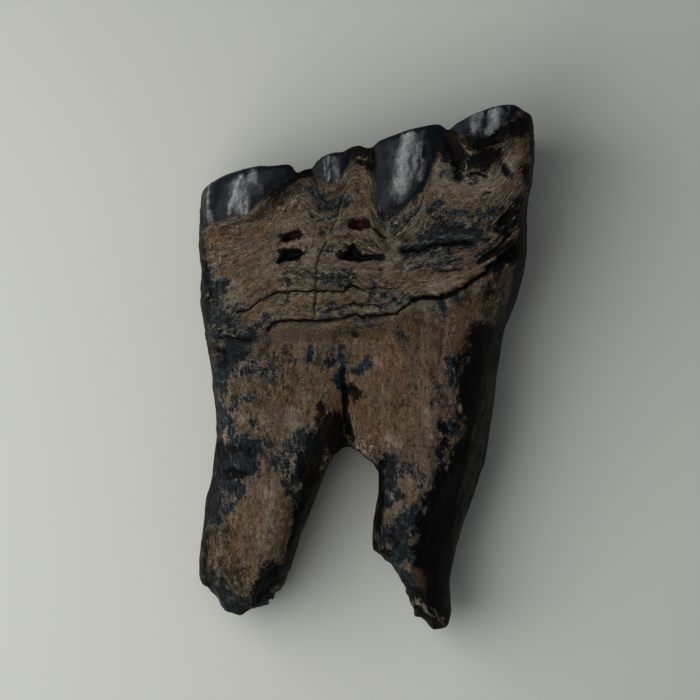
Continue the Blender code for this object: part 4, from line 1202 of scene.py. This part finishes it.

# %% [markdown]
# ## Grey sheen and cream
# Grey threads run down the side face, partly grey cement and partly painted sheen, and chipped edges and
# thin lines of cement are cream. The cream strokes are the narrowest of all, some under 0.1 mm to each
# side, so the path itself has to be right.

# %% Grey and cream strokes
GREY_AND_SHEEN = (
    (5, 0.8, 518, 240, 516, 270, 510, 300, 504, 328), (6, 0.7, 498, 335, 495, 350, 492, 372),
    (8, 0.9, 491, 372, 488, 395, 484, 420), (9, 0.9, 482, 420, 478, 445, 474, 470),
    (8, 0.9, 470, 470, 464, 500, 458, 530), (7, 0.9, 456, 530, 452, 560, 448, 590),
    (4, 0.8, 447, 590, 447, 618), (4, 0.5, 434, 520, 430, 545), (4, 0.4, 444, 500, 440, 530, 438, 560),
    (4, 0.5, 212, 576, 222, 592, 232, 602, 246, 604), (3, 0.5, 396, 565, 404, 580, 408, 596),
    (3, 0.5, 411, 600, 416, 612),
)
CREAM = (
    (3, 0.6, 375, 204, 378, 216), (3, 0.5, 222, 221, 236, 220, 250, 218),
    (0.9, 0.8, 371, 180, 375, 203, 384, 213, 392, 216, 402, 212, 412, 201, 424, 188),
    (0.8, 0.6, 366, 166, 368, 188, 373, 208, 382, 222), (0.8, 0.5, 262, 222, 280, 214, 296, 200, 304, 190),
    (2, 0.8, 224, 426, 226, 440), (1.5, 0.9, 229, 438, 230, 439), (1.5, 0.6, 249, 436, 255, 436),
    (0.8, 0.7, 228, 393, 234, 397, 240, 400), (1, 0.9, 213, 325, 218, 328, 228, 332, 236, 337),
    (1.5, 1.0, 234, 336, 237, 338), (1.5, 0.8, 207, 297, 209, 300), (1.5, 0.9, 459, 395, 459, 410),
    (1.5, 0.8, 462, 416, 468, 418), (1.5, 0.8, 450, 400, 452, 403), (2, 0.7, 462, 326, 466, 325),
    (1.2, 0.9, 476, 317, 477, 319), (2.5, 0.8, 384, 438, 392, 438), (2, 0.75, 390, 433, 389, 447),
    (1.5, 0.5, 396, 425, 397, 429), (0.9, 0.95, 354, 437, 365, 443, 375, 448),
    (1, 0.7, 358, 446, 368, 454), (2, 0.6, 432, 425, 430, 440), (1, 0.7, 446, 309, 449, 322),
    (1.5, 0.9, 499, 263, 505, 269), (1, 0.7, 492, 262, 494, 268), (1.5, 0.8, 490, 226, 500, 216, 509, 204),
    (1, 0.85, 409, 591, 430, 609, 444, 619, 445, 625), (0.8, 0.6, 420, 225, 434, 216, 446, 204),
    (0.8, 0.6, 410, 236, 424, 226, 440, 219, 452, 207),
    (1, 0.55, 376, 196, 381, 212, 388, 222, 398, 224, 410, 217), (2, 0.5, 223, 585, 230, 592, 237, 597),
    (2, 0.5, 409, 589, 425, 604, 444, 622), (0.8, 0.8, 457, 143, 463, 149, 470, 156, 474, 152),
    (0.9, 0.9, 471, 157, 467, 165, 464, 175, 464, 182),
    (1.2, 0.6, 433, 182, 463, 181, 480, 178, 490, 172, 500, 165, 510, 157), (1.5, 0.9, 513, 227, 515, 230),
    (1.5, 0.7, 508, 217, 512, 220), (1.5, 0.8, 526, 186, 528, 190), (1.2, 0.7, 521, 198, 525, 202),
    (1.5, 0.6, 510, 200, 520, 195), (1, 0.6, 393, 241, 405, 229, 418, 215, 430, 196),
    (1.2, 0.8, 316, 331, 317, 333), (1.2, 0.8, 361, 252, 362, 254), (1.5, 0.6, 379, 546, 382, 549),
    (2, 0.6, 440, 620, 445, 626), (1.5, 0.5, 284, 268, 295, 267), (2, 0.5, 446, 444, 452, 440),
)
print(len(GREY_AND_SHEEN), "grey and", len(CREAM), "cream strokes")

# %% [markdown]
# ## Milk, painted highlight and shade
# On the enamel there are pale streaks, partly milky where the mineral has gone cloudy and partly painted
# highlight, and dark shade between them and along its border. They run down from the rim, as the lobes do.

# %% Milky, highlight and shaded strokes
MILK_AND_HIGHLIGHT = (
    (15, 0.52, 246, 174, 242, 202), (9, 0.6, 246, 182, 244, 210), (5, 0.7, 335, 160, 337, 182),
    (5, 0.55, 420, 146, 424, 162, 419, 180), (9, 0.75, 476, 116, 474, 130),
    (16, 0.5, 406, 142, 399, 170, 394, 195), (13, 0.45, 498, 116, 482, 130), (6, 0.3, 330, 160, 330, 176),
    (2.6, 1.0, 242, 174, 240, 186, 236, 200, 231, 216), (2.0, 0.95, 248, 190, 249, 203, 247, 214),
    (1.6, 0.8, 241, 198, 242, 216), (6, 0.8, 254, 170, 252, 182), (2, 0.8, 213, 192, 212, 208, 213, 222),
    (1, 0.8, 210, 188, 209, 206, 209, 224), (4, 0.45, 262, 180, 262, 190), (2.5, 0.5, 236, 176, 232, 196),
    (1.6, 0.8, 331, 158, 330, 170, 329, 180), (1.3, 0.7, 325, 164, 324, 176),
    (2.5, 0.25, 341, 156, 338, 172), (8, 1.0, 407, 140, 402, 158, 399, 178, 400, 190),
    (4, 0.7, 417, 148, 412, 166, 406, 186), (5, 0.55, 392, 152, 391, 178),
    (7, 1.0, 495, 113, 494, 124, 490, 134), (4, 0.8, 480, 117, 478, 126, 474, 136),
    (5, 0.55, 506, 110, 502, 122), (3, 0.5, 466, 124, 463, 131), (3, 0.5, 211, 188, 211, 210),
)
SHADE = (
    (9, 0.9, 378, 200, 384, 210, 396, 212), (5, 0.8, 374, 180, 376, 200),
    (5, 0.5, 214, 228, 240, 228, 262, 214), (9, 0.9, 222, 182, 221, 205, 222, 222),
    (2.5, 0.85, 205, 196, 205, 226), (5, 0.5, 256, 200, 252, 212), (5, 0.7, 226, 184, 240, 174, 262, 168),
    (10, 1.0, 272, 172, 290, 171), (9, 1.0, 285, 181, 272, 192), (7, 0.85, 264, 176, 270, 190),
    (5, 1.0, 320, 160, 318, 180), (5, 0.85, 349, 158, 345, 178),
    (8, 1.0, 380, 144, 380, 170, 383, 195, 388, 220), (4, 0.7, 484, 110, 495, 106, 508, 105),
    (3, 0.7, 320, 158, 332, 155, 342, 154), (6, 0.9, 386, 139, 410, 130, 432, 126),
    (10, 1.0, 434, 134, 438, 152), (3, 1.0, 424, 149, 424, 158), (7, 0.7, 431, 168, 421, 190, 408, 211),
    (5, 0.7, 456, 130, 461, 123, 468, 115), (2.4, 0.8, 485, 113, 484, 128), (2, 1.0, 503, 111, 504, 114),
    (7, 0.8, 512, 107, 517, 118), (6, 0.9, 500, 134, 514, 122), (3, 0.5, 414, 134, 418, 136),
    (4, 0.7, 390, 206, 398, 222), (5, 0.3, 470, 134, 484, 136),
)
print(len(MILK_AND_HIGHLIGHT), "milky and", len(SHADE), "shaded strokes")

# %% [markdown]
# ## Painting the points
# Every point now gets the strength of each kind of stroke as a number of its own, an attribute. The
# material reads them by name. A picture laid over the tooth would do it too, but it has one fixed
# sharpness, while strokes broken up by noise stay crisp when the camera comes close.

# %% Paint the points
FRONT_PAINT = (-0.4, 0.0)    # how far a point may face down and still be painted
PAINT_WOBBLE = 0.1           # how far noise leads a stroke astray, in millimetres
SIDE_WOBBLE = 1.2            # the same on the sides, where a stroke would run straight down

on_top = ramp(normals[:, 2] + 0.3 * rough(points, 2.5, 3, 117), *FRONT_PAINT)
paint_x = bent_x + PAINT_WOBBLE * rough(points, 0.6, 2, 111)
paint_y = bent_y + PAINT_WOBBLE * rough(points, 0.6, 2, 113)
paint_y += SIDE_WOBBLE * (1 - on_front) * rough(points, 3.0, 3, 115)
STROKES = {
    "orange": ORANGE, "pale": PALE, "olive": OLIVE, "blue": BLUE_BLACK, "black": BLACK, "grey_and_sheen": GREY_AND_SHEEN,
    "cream": CREAM, "milk_and_highlight": MILK_AND_HIGHLIGHT, "shade": SHADE,
}
for name, strokes in STROKES.items():
    put_attribute(mesh, name, painted(in_millimetres(strokes), paint_x, paint_y) * on_top)
print({name: len(strokes) for name, strokes in STROKES.items()}, "strokes")

# %% [markdown]
# ## Handing the shape to the colours
# Hollows get dirt and painted shade, enamel is dark and a break is charcoal, so the material has to know
# the shape as well. These measures go in as attributes too, and then the points get their final places.

# %% Shape the colours follow
SHAPES = {
    "enamel": -off_enamel, "crack": np.where(on_front > 0, crack_ratio, NO_CRACK),
    "crack_depth": crack_depth * on_front, "pit": np.where(on_front > 0, np.clip(-from_pit, -1, 1), -1),
    "hollow": hollow, "side": side, "broken": broken, "dentine": dentine, "wall": wall, "chewing": chewing,
    "front": on_front,
}
for name, values in SHAPES.items():
    put_attribute(mesh, name, values)
mesh.vertices.foreach_set("co", (points * MM).astype(np.float32).ravel())
mesh.polygons.foreach_set("use_smooth", np.ones(len(mesh.polygons), bool))
mesh.update()
tooth = bpy.data.objects.new("fossil_tooth_surface", mesh)
bpy.context.scene.collection.objects.link(tooth)
print("the tooth has", len(mesh.vertices), "points and", len(mesh.attributes), "attributes")

# %% [markdown]
# ## A helper for shader nodes
# A material is a graph of nodes. One small function adds any kind of node, so that each line below
# reads like a sum: what goes in, and what comes out. Colours are written as they look on a
# screen, and a second function turns them into the linear light that the renderer adds up.

# %% Node helper


def linear(colour):
    """An sRGB hex colour as linear red, green, blue and alpha."""
    parts = [int(colour[place:place + 2], 16) / 255 for place in (1, 3, 5)]
    return (*[part / 12.92 if part <= 0.04045 else ((part + 0.055) / 1.055) ** 2.4 for part in parts], 1.0)


def node(kind, inputs, stops=(), **settings):
    """Adds one node with its settings, fills or links its inputs, and gives back its first output in use."""
    made = tree.nodes.new("ShaderNode" + kind)
    for name, value in settings.items():
        setattr(made, name, value)
    for number, (place, colour) in enumerate(stops):
        stop = made.color_ramp.elements[number] if number < 2 else made.color_ramp.elements.new(place)
        stop.position = place
        stop.color = linear(colour)
    for key, value in inputs.items():
        named = [socket for socket in made.inputs if socket.enabled and socket.name == key]
        socket = named[0] if named else made.inputs[key]
        if isinstance(value, bpy.types.NodeSocket):
            tree.links.new(value, socket)
        else:
            socket.default_value = linear(value) if isinstance(value, str) else value
    return next((socket for socket in made.outputs if socket.enabled), None)


print("white as linear light:", linear("#ffffff"))

# %% [markdown]
# ## Mineralised tooth
# The real stuff is fossil tooth: brown cement and glassy enamel, whose pores were filled by iron and
# manganese minerals from the ground water over thousands of years. Nobody finished the surface.
# Weather opened its layers, so it is matt and gritty, while the enamel keeps a dull polish. One
# material covers the whole piece, because the colours run into one another everywhere.
#
# Its patterns need three sets of coordinates, all in millimetres: the place on the tooth, the place
# along the cement's layers, and the place along the tooth's length.

# %% Coordinates
LAYER_WARP = 1.2        # how many millimetres noise lifts and sinks the layers
ROOT_START = (13.5, 15.5)     # the layer depths between which the layered crown gives way to the root

material = bpy.data.materials.new("mineralised_tooth")
material.use_nodes = True
tree = material.node_tree
tree.nodes.clear()

read = {
    name: node("Attribute", {}, attribute_name=name).node.outputs["Fac"]
    for name in ("layer", *STROKES, *SHAPES)
}
object_place = node("TexCoord", {}).node.outputs["Object"]
place_mm = node("VectorMath", {0: object_place, "Scale": 1 / MM}, operation="SCALE")
x_mm, y_mm, z_mm = node("SeparateXYZ", {0: place_mm}).node.outputs
warp = node("TexNoise", {"Vector": place_mm, "Scale": 0.5, "Detail": 3.0})
depth = node("Math", {0: warp, 1: LAYER_WARP, 2: read["layer"]}, operation="MULTIPLY_ADD")
below = node("MapRange", {0: read["layer"], 1: ROOT_START[0], 2: ROOT_START[1]})


def stretched(across, along, through, shares):
    """Coordinates with each axis shortened to a share of itself, which draws a pattern out along it."""
    sockets = [
        node("Math", {0: value, 1: share}, operation="MULTIPLY")
        for value, share in zip((across, along, through), shares)]
    return node("CombineXYZ", dict(enumerate(sockets)))


along_layers = stretched(x_mm, depth, z_mm, (0.15, 1.0, 0.0))
along_tooth = stretched(x_mm, y_mm, z_mm, (1.0, 0.12, 1.0))
threads = stretched(x_mm, y_mm, z_mm, (1.0, 0.05, 0.5))
short_layers = stretched(x_mm, depth, z_mm, (0.6, 1.0, 0.6))
short_tooth = stretched(x_mm, y_mm, z_mm, (1.0, 0.45, 1.0))
drawn_out = node("Mix", {"Factor": below, "A": short_layers, "B": short_tooth}, data_type="VECTOR")
print(len(read), "attributes read,", len(tree.nodes), "nodes so far")

# %% [markdown]
# ## Noise at every size
# A noise of scale 1 has spots about a millimetre apart, because its coordinates are in millimetres.
# The grains of the real surface are near 0.05 mm, which is finer than a pixel seen from here, so
# the finest noise is drawn a little coarser, at about 0.1 mm.

# %% Noises
# Each noise with its coordinates, scale, detail and roughness
NOISES = {
    "drift": (place_mm, 0.22, 3.0, 0.55), "mottle": (place_mm, 0.55, 7.0, 0.62),
    "blotches": (place_mm, 1.3, 5.0, 0.7), "speckle": (drawn_out, 3.2, 4.0, 0.7),
    "fine": (place_mm, 9.0, 2.0, 0.6), "layers": (along_layers, 1.5, 7.0, 0.62),
    "thin layers": (along_layers, 2.4, 4.0, 0.65), "fibres": (along_tooth, 0.9, 6.0, 0.62),
    "threads": (threads, 2.2, 4.0, 0.7),
}
drift, mottle, blotches, speckle, fine, layer_noise, thin_layers, fibre_noise, thread_noise = (
    node("TexNoise", dict(zip(("Vector", "Scale", "Detail", "Roughness"), values)))
    for values in NOISES.values())

# Grit is speckle and fine noise together, about 0 on average and mostly within 0.2 of it
grit = node("Math", {0: speckle, 1: 0.8, 2: -0.8}, operation="MULTIPLY_ADD")
grit = node("Math", {0: fine, 1: 0.8, 2: grit}, operation="MULTIPLY_ADD")
crown_ragged = node("Mix", {"Factor": 0.45, "A": blotches, "B": thin_layers})
ragged = node("Mix", {"Factor": below, "A": crown_ragged, "B": blotches})
print(len(NOISES), "noises,", len(tree.nodes), "nodes")

# %% [markdown]
# ## Cement
# The crown's cement is a pinkish grey brown in thin sheets, and the roots are browner and fibrous. The
# side face is black and threaded lengthways, and what faces away from above gets painted shade in dark
# brown. Where a root is broken off, its inside is charcoal grey and brown. Each of these is laid over the
# last.

# %% Cement, side and breaks
TINT_SHARE = 0.4

crown_colour = node("ValToRGB", {0: layer_noise}, stops=(
    (0.30, "#332b21"), (0.44, "#473e32"), (0.52, "#554b3d"), (0.60, "#5f5748"), (0.72, "#6e6555")))
root_colour = node("ValToRGB", {0: fibre_noise}, stops=(
    (0.28, "#31271d"), (0.44, "#44382b"), (0.52, "#4f4234"), (0.62, "#5a4c3d"), (0.76, "#675848")))
tint = node("ValToRGB", {0: drift}, stops=((0.40, "#574940"), (0.50, "#54483c"), (0.62, "#5a4a34")))
# Painted shade: the less a surface faces up, the more it is mixed towards dark brown.
turned_away_shade_colour = node("ValToRGB", {0: fibre_noise}, stops=(
    (0.35, "#0f0c09"), (0.55, "#221b15"), (0.75, "#3b3026")))
away = node("MapRange", {0: read["front"], 1: 0.0, 2: 0.8, 3: 0.8, 4: 0.0})
side_colour = node("ValToRGB", {0: thread_noise}, stops=(
    (0.35, "#000101"), (0.50, "#030404"), (0.60, "#080908"), (0.72, "#171812")))
break_colour = node("ValToRGB", {0: ragged}, stops=(
    (0.38, "#08090a"), (0.47, "#191c1e"), (0.55, "#323536"), (0.63, "#4f4a40")))
colour = crown_colour
for share, above in (
    (below, root_colour), (TINT_SHARE, tint), (away, turned_away_shade_colour), (read["side"], side_colour),
    (read["broken"], break_colour),
):
    colour = node("Mix", {"Factor": share, "A": colour, "B": above}, data_type="RGBA")
print("cement:", len(tree.nodes), "nodes")

# %% [markdown]
# ## Stains
# Iron turned parts of the cement orange, clay left it olive, and manganese left blue-black patches.
# Each stain is laid on like a coat of ink. A coat starts from its painted strokes. Ragged
# noise breaks up its shape, and grit frays its edge, because ink soaks into the pores first.

# %% A coat of ink
GATE_SLOPE = 3.0        # noise counts in full from a third of the full paint on


def coat(under, name, ink, breaker, breaking, fraying, start, full, cover):
    """Lays one coat of ink over the colour so far. Its amount is the painted strength, plus noise wherever
    there is any paint, and the coat thickens from nothing at one amount to its full cover at another."""
    gate = node("Math", {0: read[name], 1: GATE_SLOPE}, operation="MULTIPLY", use_clamp=True)
    shift = node("Math", {0: breaker, 1: breaking, 2: -breaking / 2}, operation="MULTIPLY_ADD")
    shift = node("Math", {0: grit, 1: -fraying, 2: shift}, operation="MULTIPLY_ADD")
    amount = node("Math", {0: shift, 1: gate, 2: read[name]}, operation="MULTIPLY_ADD")
    mask = node("MapRange", {0: amount, 1: start, 2: full, 4: cover}, interpolation_type="SMOOTHSTEP")
    return node("Mix", {"Factor": mask, "A": under, "B": ink}, data_type="RGBA")


print("the noise in a coat counts in full from a strength of", round(1 / GATE_SLOPE, 2))

# %% [markdown]
# ## The coats, one after the other
# They go on in the order in which they hide one another. Blue comes twice: first a thin grey film round
# each patch, then the patch itself, whose ink is lighter on the raised grains.

# %% Stains
blue_ink = node("ValToRGB", {0: speckle}, stops=(
    (0.36, "#010305"), (0.48, "#050b10"), (0.60, "#111b21"), (0.74, "#2f3c42")))
# name, ink, what breaks it up and how much, how frayed its edge is, where it starts and is full, its cover
STAINS = (
    ("olive", "#1b1a12", ragged, 1.7, 1.6, 0.15, 0.75, 0.85),
    ("orange", "#553e2b", ragged, 1.4, 0.8, 0.15, 1.05, 0.78),
    ("pale", "#796c5e", ragged, 1.6, -1.0, 0.20, 1.10, 0.75),
    # Grey threads: grey cement and painted sheen on the side face.
    ("grey_and_sheen", "#2d2e28", thread_noise, 4.5, 0.8, 0.30, 0.90, 0.90),
    ("blue", "#4a5354", blotches, 1.2, 0.6, 0.05, 0.70, 0.56),
    ("blue", blue_ink, ragged, 1.8, 1.5, 0.15, 0.60, 0.90),
    # Black: stain, and painted shade on the insides of the roots and along the left edge.
    ("black", "#010202", ragged, 1.4, 1.4, 0.12, 0.55, 0.97),
    ("cream", "#857762", speckle, 0.6, -1.0, 0.20, 0.90, 0.60),
)
for stain in STAINS:
    colour = coat(colour, *stain)
print(len(STAINS), "stains,", len(tree.nodes), "nodes")

# %% [markdown]
# ## Fine lines between the layers
# Where weather ate between two sheets of cement, dirt has drawn a fine dark line. A noise that is drawn
# out along the layers passes through its middle value along such lines, so its distance from
# that value is the distance from a line.

# %% Layer lines
LINE_WIDTH = 0.030      # in steps of the noise, about 0.1 mm on the tooth

line_noise = node("TexNoise", {"Vector": along_layers, "Scale": 2.6, "Detail": 5.0, "Roughness": 0.6})
off_line = node("Math", {0: line_noise, 1: 0.5}, operation="SUBTRACT")
off_line = node("Math", {0: off_line}, operation="ABSOLUTE")
off_line = node("Math", {0: grit, 1: 0.05, 2: off_line}, operation="MULTIPLY_ADD")
lines = node("MapRange", {0: off_line, 1: 0.0, 2: LINE_WIDTH, 3: 1.0, 4: 0.0})
weathered = node("MapRange", {0: mottle, 1: 0.40, 2: 0.56, 4: 0.85})
in_crown = node("MapRange", {0: read["layer"], 1: ROOT_START[1], 2: ROOT_START[0]})
for limit in (weathered, in_crown):
    lines = node("Math", {0: lines, 1: limit}, operation="MULTIPLY")
colour = node("Mix", {"Factor": lines, "A": colour, "B": "#14130f"}, data_type="RGBA")
print("layer lines:", len(tree.nodes), "nodes")

# %% [markdown]
# ## Enamel
# Enamel is clear over a dark core, so it looks blue-black, and paler in streaks, partly milky where the
# mineral has gone cloudy and partly painted highlight. It gets its own two coats. Its border is frayed by
# noise too, because the cement over it has worn thin there.

# %% Enamel
enamel_middle = node("ValToRGB", {0: ragged}, stops=((0.38, "#0b1116"), (0.50, "#1f2428"), (0.62, "#33373a")))
inwards = node("MapRange", {0: read["enamel"], 1: 0.0, 2: 0.9}, interpolation_type="SMOOTHSTEP")
enamel_colour = node("Mix", {"Factor": inwards, "A": "#080f17", "B": enamel_middle}, data_type="RGBA")
for clouding in (
    # Pale streaks: milky enamel, and painted highlight where the gloss would catch the light.
    ("milk_and_highlight", "#8b8c8b", fibre_noise, 2.0, -0.45, 0.20, 1.25, 0.90),
    ("shade", "#050b11", ragged, 1.4, 0.8, 0.15, 0.70, 0.95),
):
    enamel_colour = coat(enamel_colour, *clouding)
border = node("Math", {0: grit, 1: 0.5, 2: read["enamel"]}, operation="MULTIPLY_ADD")
border = node("Math", {0: ragged, 1: 1.4, 2: border}, operation="MULTIPLY_ADD")
on_enamel = node("MapRange", {0: border, 1: 0.6, 2: 0.95}, interpolation_type="SMOOTHSTEP")
colour = node("Mix", {"Factor": on_enamel, "A": colour, "B": enamel_colour}, data_type="RGBA")
print("enamel:", len(tree.nodes), "nodes")

# %% [markdown]
# ## The chewing surface
# It faces away from the reader. Dark cement fills the outside, the enamel walls are pale grey, and the
# dentine they enclose is a warmer brown.

# %% Chewing surface
chewing_colour = node("ValToRGB", {0: mottle}, stops=(
    (0.35, "#0d0b08"), (0.55, "#241d17"), (0.70, "#382f24")))
in_dentine = node("MapRange", {0: read["dentine"], 1: 0.42, 2: 0.6})
chewing_colour = node("Mix", {"Factor": in_dentine, "A": chewing_colour, "B": "#3d2d20"}, data_type="RGBA")
on_wall = node("MapRange", {0: read["wall"], 1: 0.3, 2: 0.8})
chewing_colour = node("Mix", {"Factor": on_wall, "A": chewing_colour, "B": "#565b5d"}, data_type="RGBA")
colour = node("Mix", {"Factor": read["chewing"], "A": colour, "B": chewing_colour}, data_type="RGBA")
print("chewing surface:", len(tree.nodes), "nodes")

# %% [markdown]
# ## Grit, dirt and painted shade
# From grain to grain every colour is a little lighter or darker, least where cement was worn pale.
# Ridges are made paler, as wear and painted highlight, and hollows darker, as dirt and painted shade.
# The shape casts shadows of its own as well.

# %% Grit, dirt and painted shade
busy = node("MapRange", {0: ragged, 1: 0.4, 2: 0.6, 3: 1.4, 4: 0.6})
worn_smooth = node("MapRange", {0: read["pale"], 1: 0.1, 2: 0.6, 3: 1.0, 4: 0.55})
busy = node("Math", {0: busy, 1: worn_smooth}, operation="MULTIPLY")
uneven_grit = node("Math", {0: grit, 1: busy}, operation="MULTIPLY")
grain_light = node("MapRange", {0: uneven_grit, 1: -0.2, 2: 0.2, 3: 0.2, 4: 1.75}, clamp=False)
grain_light = node("Math", {0: grain_light, 1: 0.1}, operation="MAXIMUM")
grit_share = node("MapRange", {0: on_enamel, 3: 1.0, 4: 0.55})
grain_light = node("Mix", {"Factor": grit_share, "A": 1.0, "B": grain_light})
colour = node("VectorMath", {0: colour, "Scale": grain_light}, operation="SCALE")

# Painted highlight and wear: ridges are made paler.
ridge_wear_and_highlight = node("MapRange", {0: read["hollow"], 1: -0.02, 2: -0.12, 4: 0.5}, interpolation_type="SMOOTHSTEP")
paler = node("VectorMath", {0: colour, "Scale": 1.8}, operation="SCALE")
colour = node("Mix", {"Factor": ridge_wear_and_highlight, "A": colour, "B": paler}, data_type="RGBA")
# Painted shade and dirt: hollows are made darker.
hollow_dirt_and_shade = node("MapRange", {0: read["hollow"], 1: 0.01, 2: 0.10, 4: 0.75}, interpolation_type="SMOOTHSTEP")
colour = node("Mix", {"Factor": hollow_dirt_and_shade, "A": colour, "B": "#0b0908"}, data_type="RGBA")
print("dirt:", len(tree.nodes), "nodes")

# %% [markdown]
# ## Painted shade in the cracks and pits
# A crack is hardly wider than a step of the grid, so its dark line, painted shade and dirt, is drawn by the
# colour, from the signed distance that every point carries, and only where the crack is deep. The pits
# are painted dark as well, as painted shade: the two upper pits are rusty inside and the two lower ones
# black.

# %% Cracks and pits in the colour
UPPER_PITS = (10.8, 11.2)       # the heights along the tooth between which pits turn from black to rusty

from_crack = node("Math", {0: read["crack"]}, operation="ABSOLUTE")
from_crack = node("Math", {0: grit, 1: 1.2, 2: from_crack}, operation="MULTIPLY_ADD")
# Painted shade and dirt: a dark line along each crack, only where it is deep enough.
crack_dirt_and_shade = node("MapRange", {0: from_crack, 1: 1.1, 2: 0.6, 3: 0.0, 4: 0.97})
deep_enough = node("MapRange", {0: read["crack_depth"], 1: 0.05, 2: 0.2})
crack_dirt_and_shade = node("Math", {0: crack_dirt_and_shade, 1: deep_enough}, operation="MULTIPLY")
colour = node("Mix", {"Factor": crack_dirt_and_shade, "A": colour, "B": "#030202"}, data_type="RGBA")
pit_edge = node("Math", {0: grit, 1: 0.3, 2: read["pit"]}, operation="MULTIPLY_ADD")
in_pit = node("MapRange", {0: pit_edge, 1: -0.05, 2: 0.1, 4: 0.95})
iron = node("ValToRGB", {0: blotches}, stops=((0.42, "#0a0604"), (0.58, "#2c130a")))
in_upper = node("MapRange", {0: y_mm, 1: UPPER_PITS[0], 2: UPPER_PITS[1]})
# Painted shade in the pits, with rust in the upper two.
pit_shade_and_rust = node("Mix", {"Factor": in_upper, "A": "#030405", "B": iron}, data_type="RGBA")
colour = node("Mix", {"Factor": in_pit, "A": colour, "B": pit_shade_and_rust}, data_type="RGBA")
print("colour done:", len(tree.nodes), "nodes")

# %% [markdown]
# ## How the surface takes the light
# Cement is matt and reflects little, which keeps its blacks deep. Enamel is smoother and carries a thin
# gloss like glass, with soft highlights. The pores are real, but too small for the grid, so
# two bumps draw them: speckle 0.12 mm high and fine grit 0.05 mm high.

# %% Shader
SPECKLE_HEIGHT = 0.12 * MM
FINE_HEIGHT = 0.05 * MM

skin_bump = node("Bump", {"Strength": 1.0, "Distance": SPECKLE_HEIGHT, "Height": speckle})
fine_bump = node("Bump", {"Strength": 0.8, "Distance": FINE_HEIGHT, "Height": fine, "Normal": skin_bump})
roughness = node("Mix", {"Factor": on_enamel, "A": 0.62, "B": 0.45})
gloss = node("Math", {0: on_enamel, 1: 0.12}, operation="MULTIPLY")
shader = node("BsdfPrincipled", {
    "Base Color": colour, "Roughness": roughness, "Normal": fine_bump, "Coat Weight": gloss,
    "Coat Roughness": 0.38, "IOR": 1.5, "Specular IOR Level": 0.06,
})
node("OutputMaterial", {"Surface": shader})
mesh.materials.append(material)
print(material.name, "has", len(tree.nodes), "nodes")

# %% [markdown]
# ## The stage
# The tooth lies on a wide sheet of pale paper, a little green. Matt paper reflects the light evenly, so
# nothing but the tooth's own shadow shows on it.

# %% Floor
FLOOR_HALF = 0.4
FLOOR_GREY = "#c3c5bc"      # the paper's own grey, before the light falls on it

corners = [(-FLOOR_HALF, -FLOOR_HALF, 0), (FLOOR_HALF, -FLOOR_HALF, 0), (FLOOR_HALF, FLOOR_HALF, 0),
           (-FLOOR_HALF, FLOOR_HALF, 0)]
floor_mesh = bpy.data.meshes.new("floor")
floor_mesh.from_pydata(corners, [], [(0, 1, 2, 3)])
floor = bpy.data.objects.new("floor", floor_mesh)
bpy.context.scene.collection.objects.link(floor)
floor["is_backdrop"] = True
paper = bpy.data.materials.new("matt_paper")
paper.use_nodes = True
paper_shader = paper.node_tree.nodes["Principled BSDF"].inputs
paper_shader["Base Color"].default_value = linear(FLOOR_GREY)
paper_shader["Roughness"].default_value = 0.8
floor_mesh.materials.append(paper)
print("floor", 2 * FLOOR_HALF, "m wide")

# %% [markdown]
# ## Light
# One soft light, a square of 13 cm, hangs about as far away as it is wide, above the tooth's left side,
# and stands in for a window. The room gives the rest, so the shadow falls softly to the right.

# %% Light and room
LIGHT_PLACE = Vector((-0.075, -0.014, 0.112))
LIGHT_AIM = Vector((-0.03, -0.04, 0.0))
LIGHT_SIZE = 0.13
LIGHT_WATTS = 0.183
WORLD_STRENGTH = 0.2

lamp = bpy.data.lights.new("window", "AREA")
lamp.shape = "SQUARE"
lamp.size = LIGHT_SIZE
lamp.energy = LIGHT_WATTS
window = bpy.data.objects.new("window", lamp)
window.location = LIGHT_PLACE
window.rotation_euler = (LIGHT_AIM - LIGHT_PLACE).to_track_quat("-Z", "Y").to_euler()
bpy.context.scene.collection.objects.link(window)
world = bpy.data.worlds.new("room")
world.use_nodes = True
sky = world.node_tree.nodes["Background"].inputs
sky["Color"].default_value = linear("#f4f6ff")
sky["Strength"].default_value = WORLD_STRENGTH
bpy.context.scene.world = world
bpy.context.scene.view_settings.view_transform = "Standard"
print("light", round(LIGHT_PLACE.length, 3), "m from the tooth")

# %% [markdown]
# ## The camera
# It looks straight down from half a metre. From so far the sides of the tooth hardly show, as in the
# photograph. The lens is worked out from how much of the stage the frame shows, at the height where
# the tooth is widest.

# %% Camera
SENSOR = 36.0
FIELD = 0.06174             # metres across the frame at the height of the tooth's widest part
WIDEST_HEIGHT = 0.011
CAMERA_DISTANCE = 0.5
CAMERA_CENTRE = (-0.0015, 0.00154)

camera_data = bpy.data.cameras.new("camera")
camera_data.sensor_width = SENSOR
camera_data.lens = SENSOR * CAMERA_DISTANCE / FIELD
camera = bpy.data.objects.new("camera", camera_data)
camera.location = (*CAMERA_CENTRE, WIDEST_HEIGHT + CAMERA_DISTANCE)
bpy.context.scene.collection.objects.link(camera)
bpy.context.scene.camera = camera
print("lens", round(camera_data.lens), "mm")

# %% [markdown]
# ## Handing over
# The surface rides on the tooth's only body, takes the place of the CAD solid in the picture, and fills
# its material slot. Both boxes are written down, so that the sizes can be compared.

# %% Hand over
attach(tooth, "root")
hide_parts("fossil_tooth")
final_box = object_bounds()
boxes = {"cad": cad_box, "visual": final_box}
{name: [list(map(float, corner)) for corner in box] for name, box in boxes.items()}
print("visual box in mm:", [[round(value / MM, 2) for value in corner] for corner in final_box])
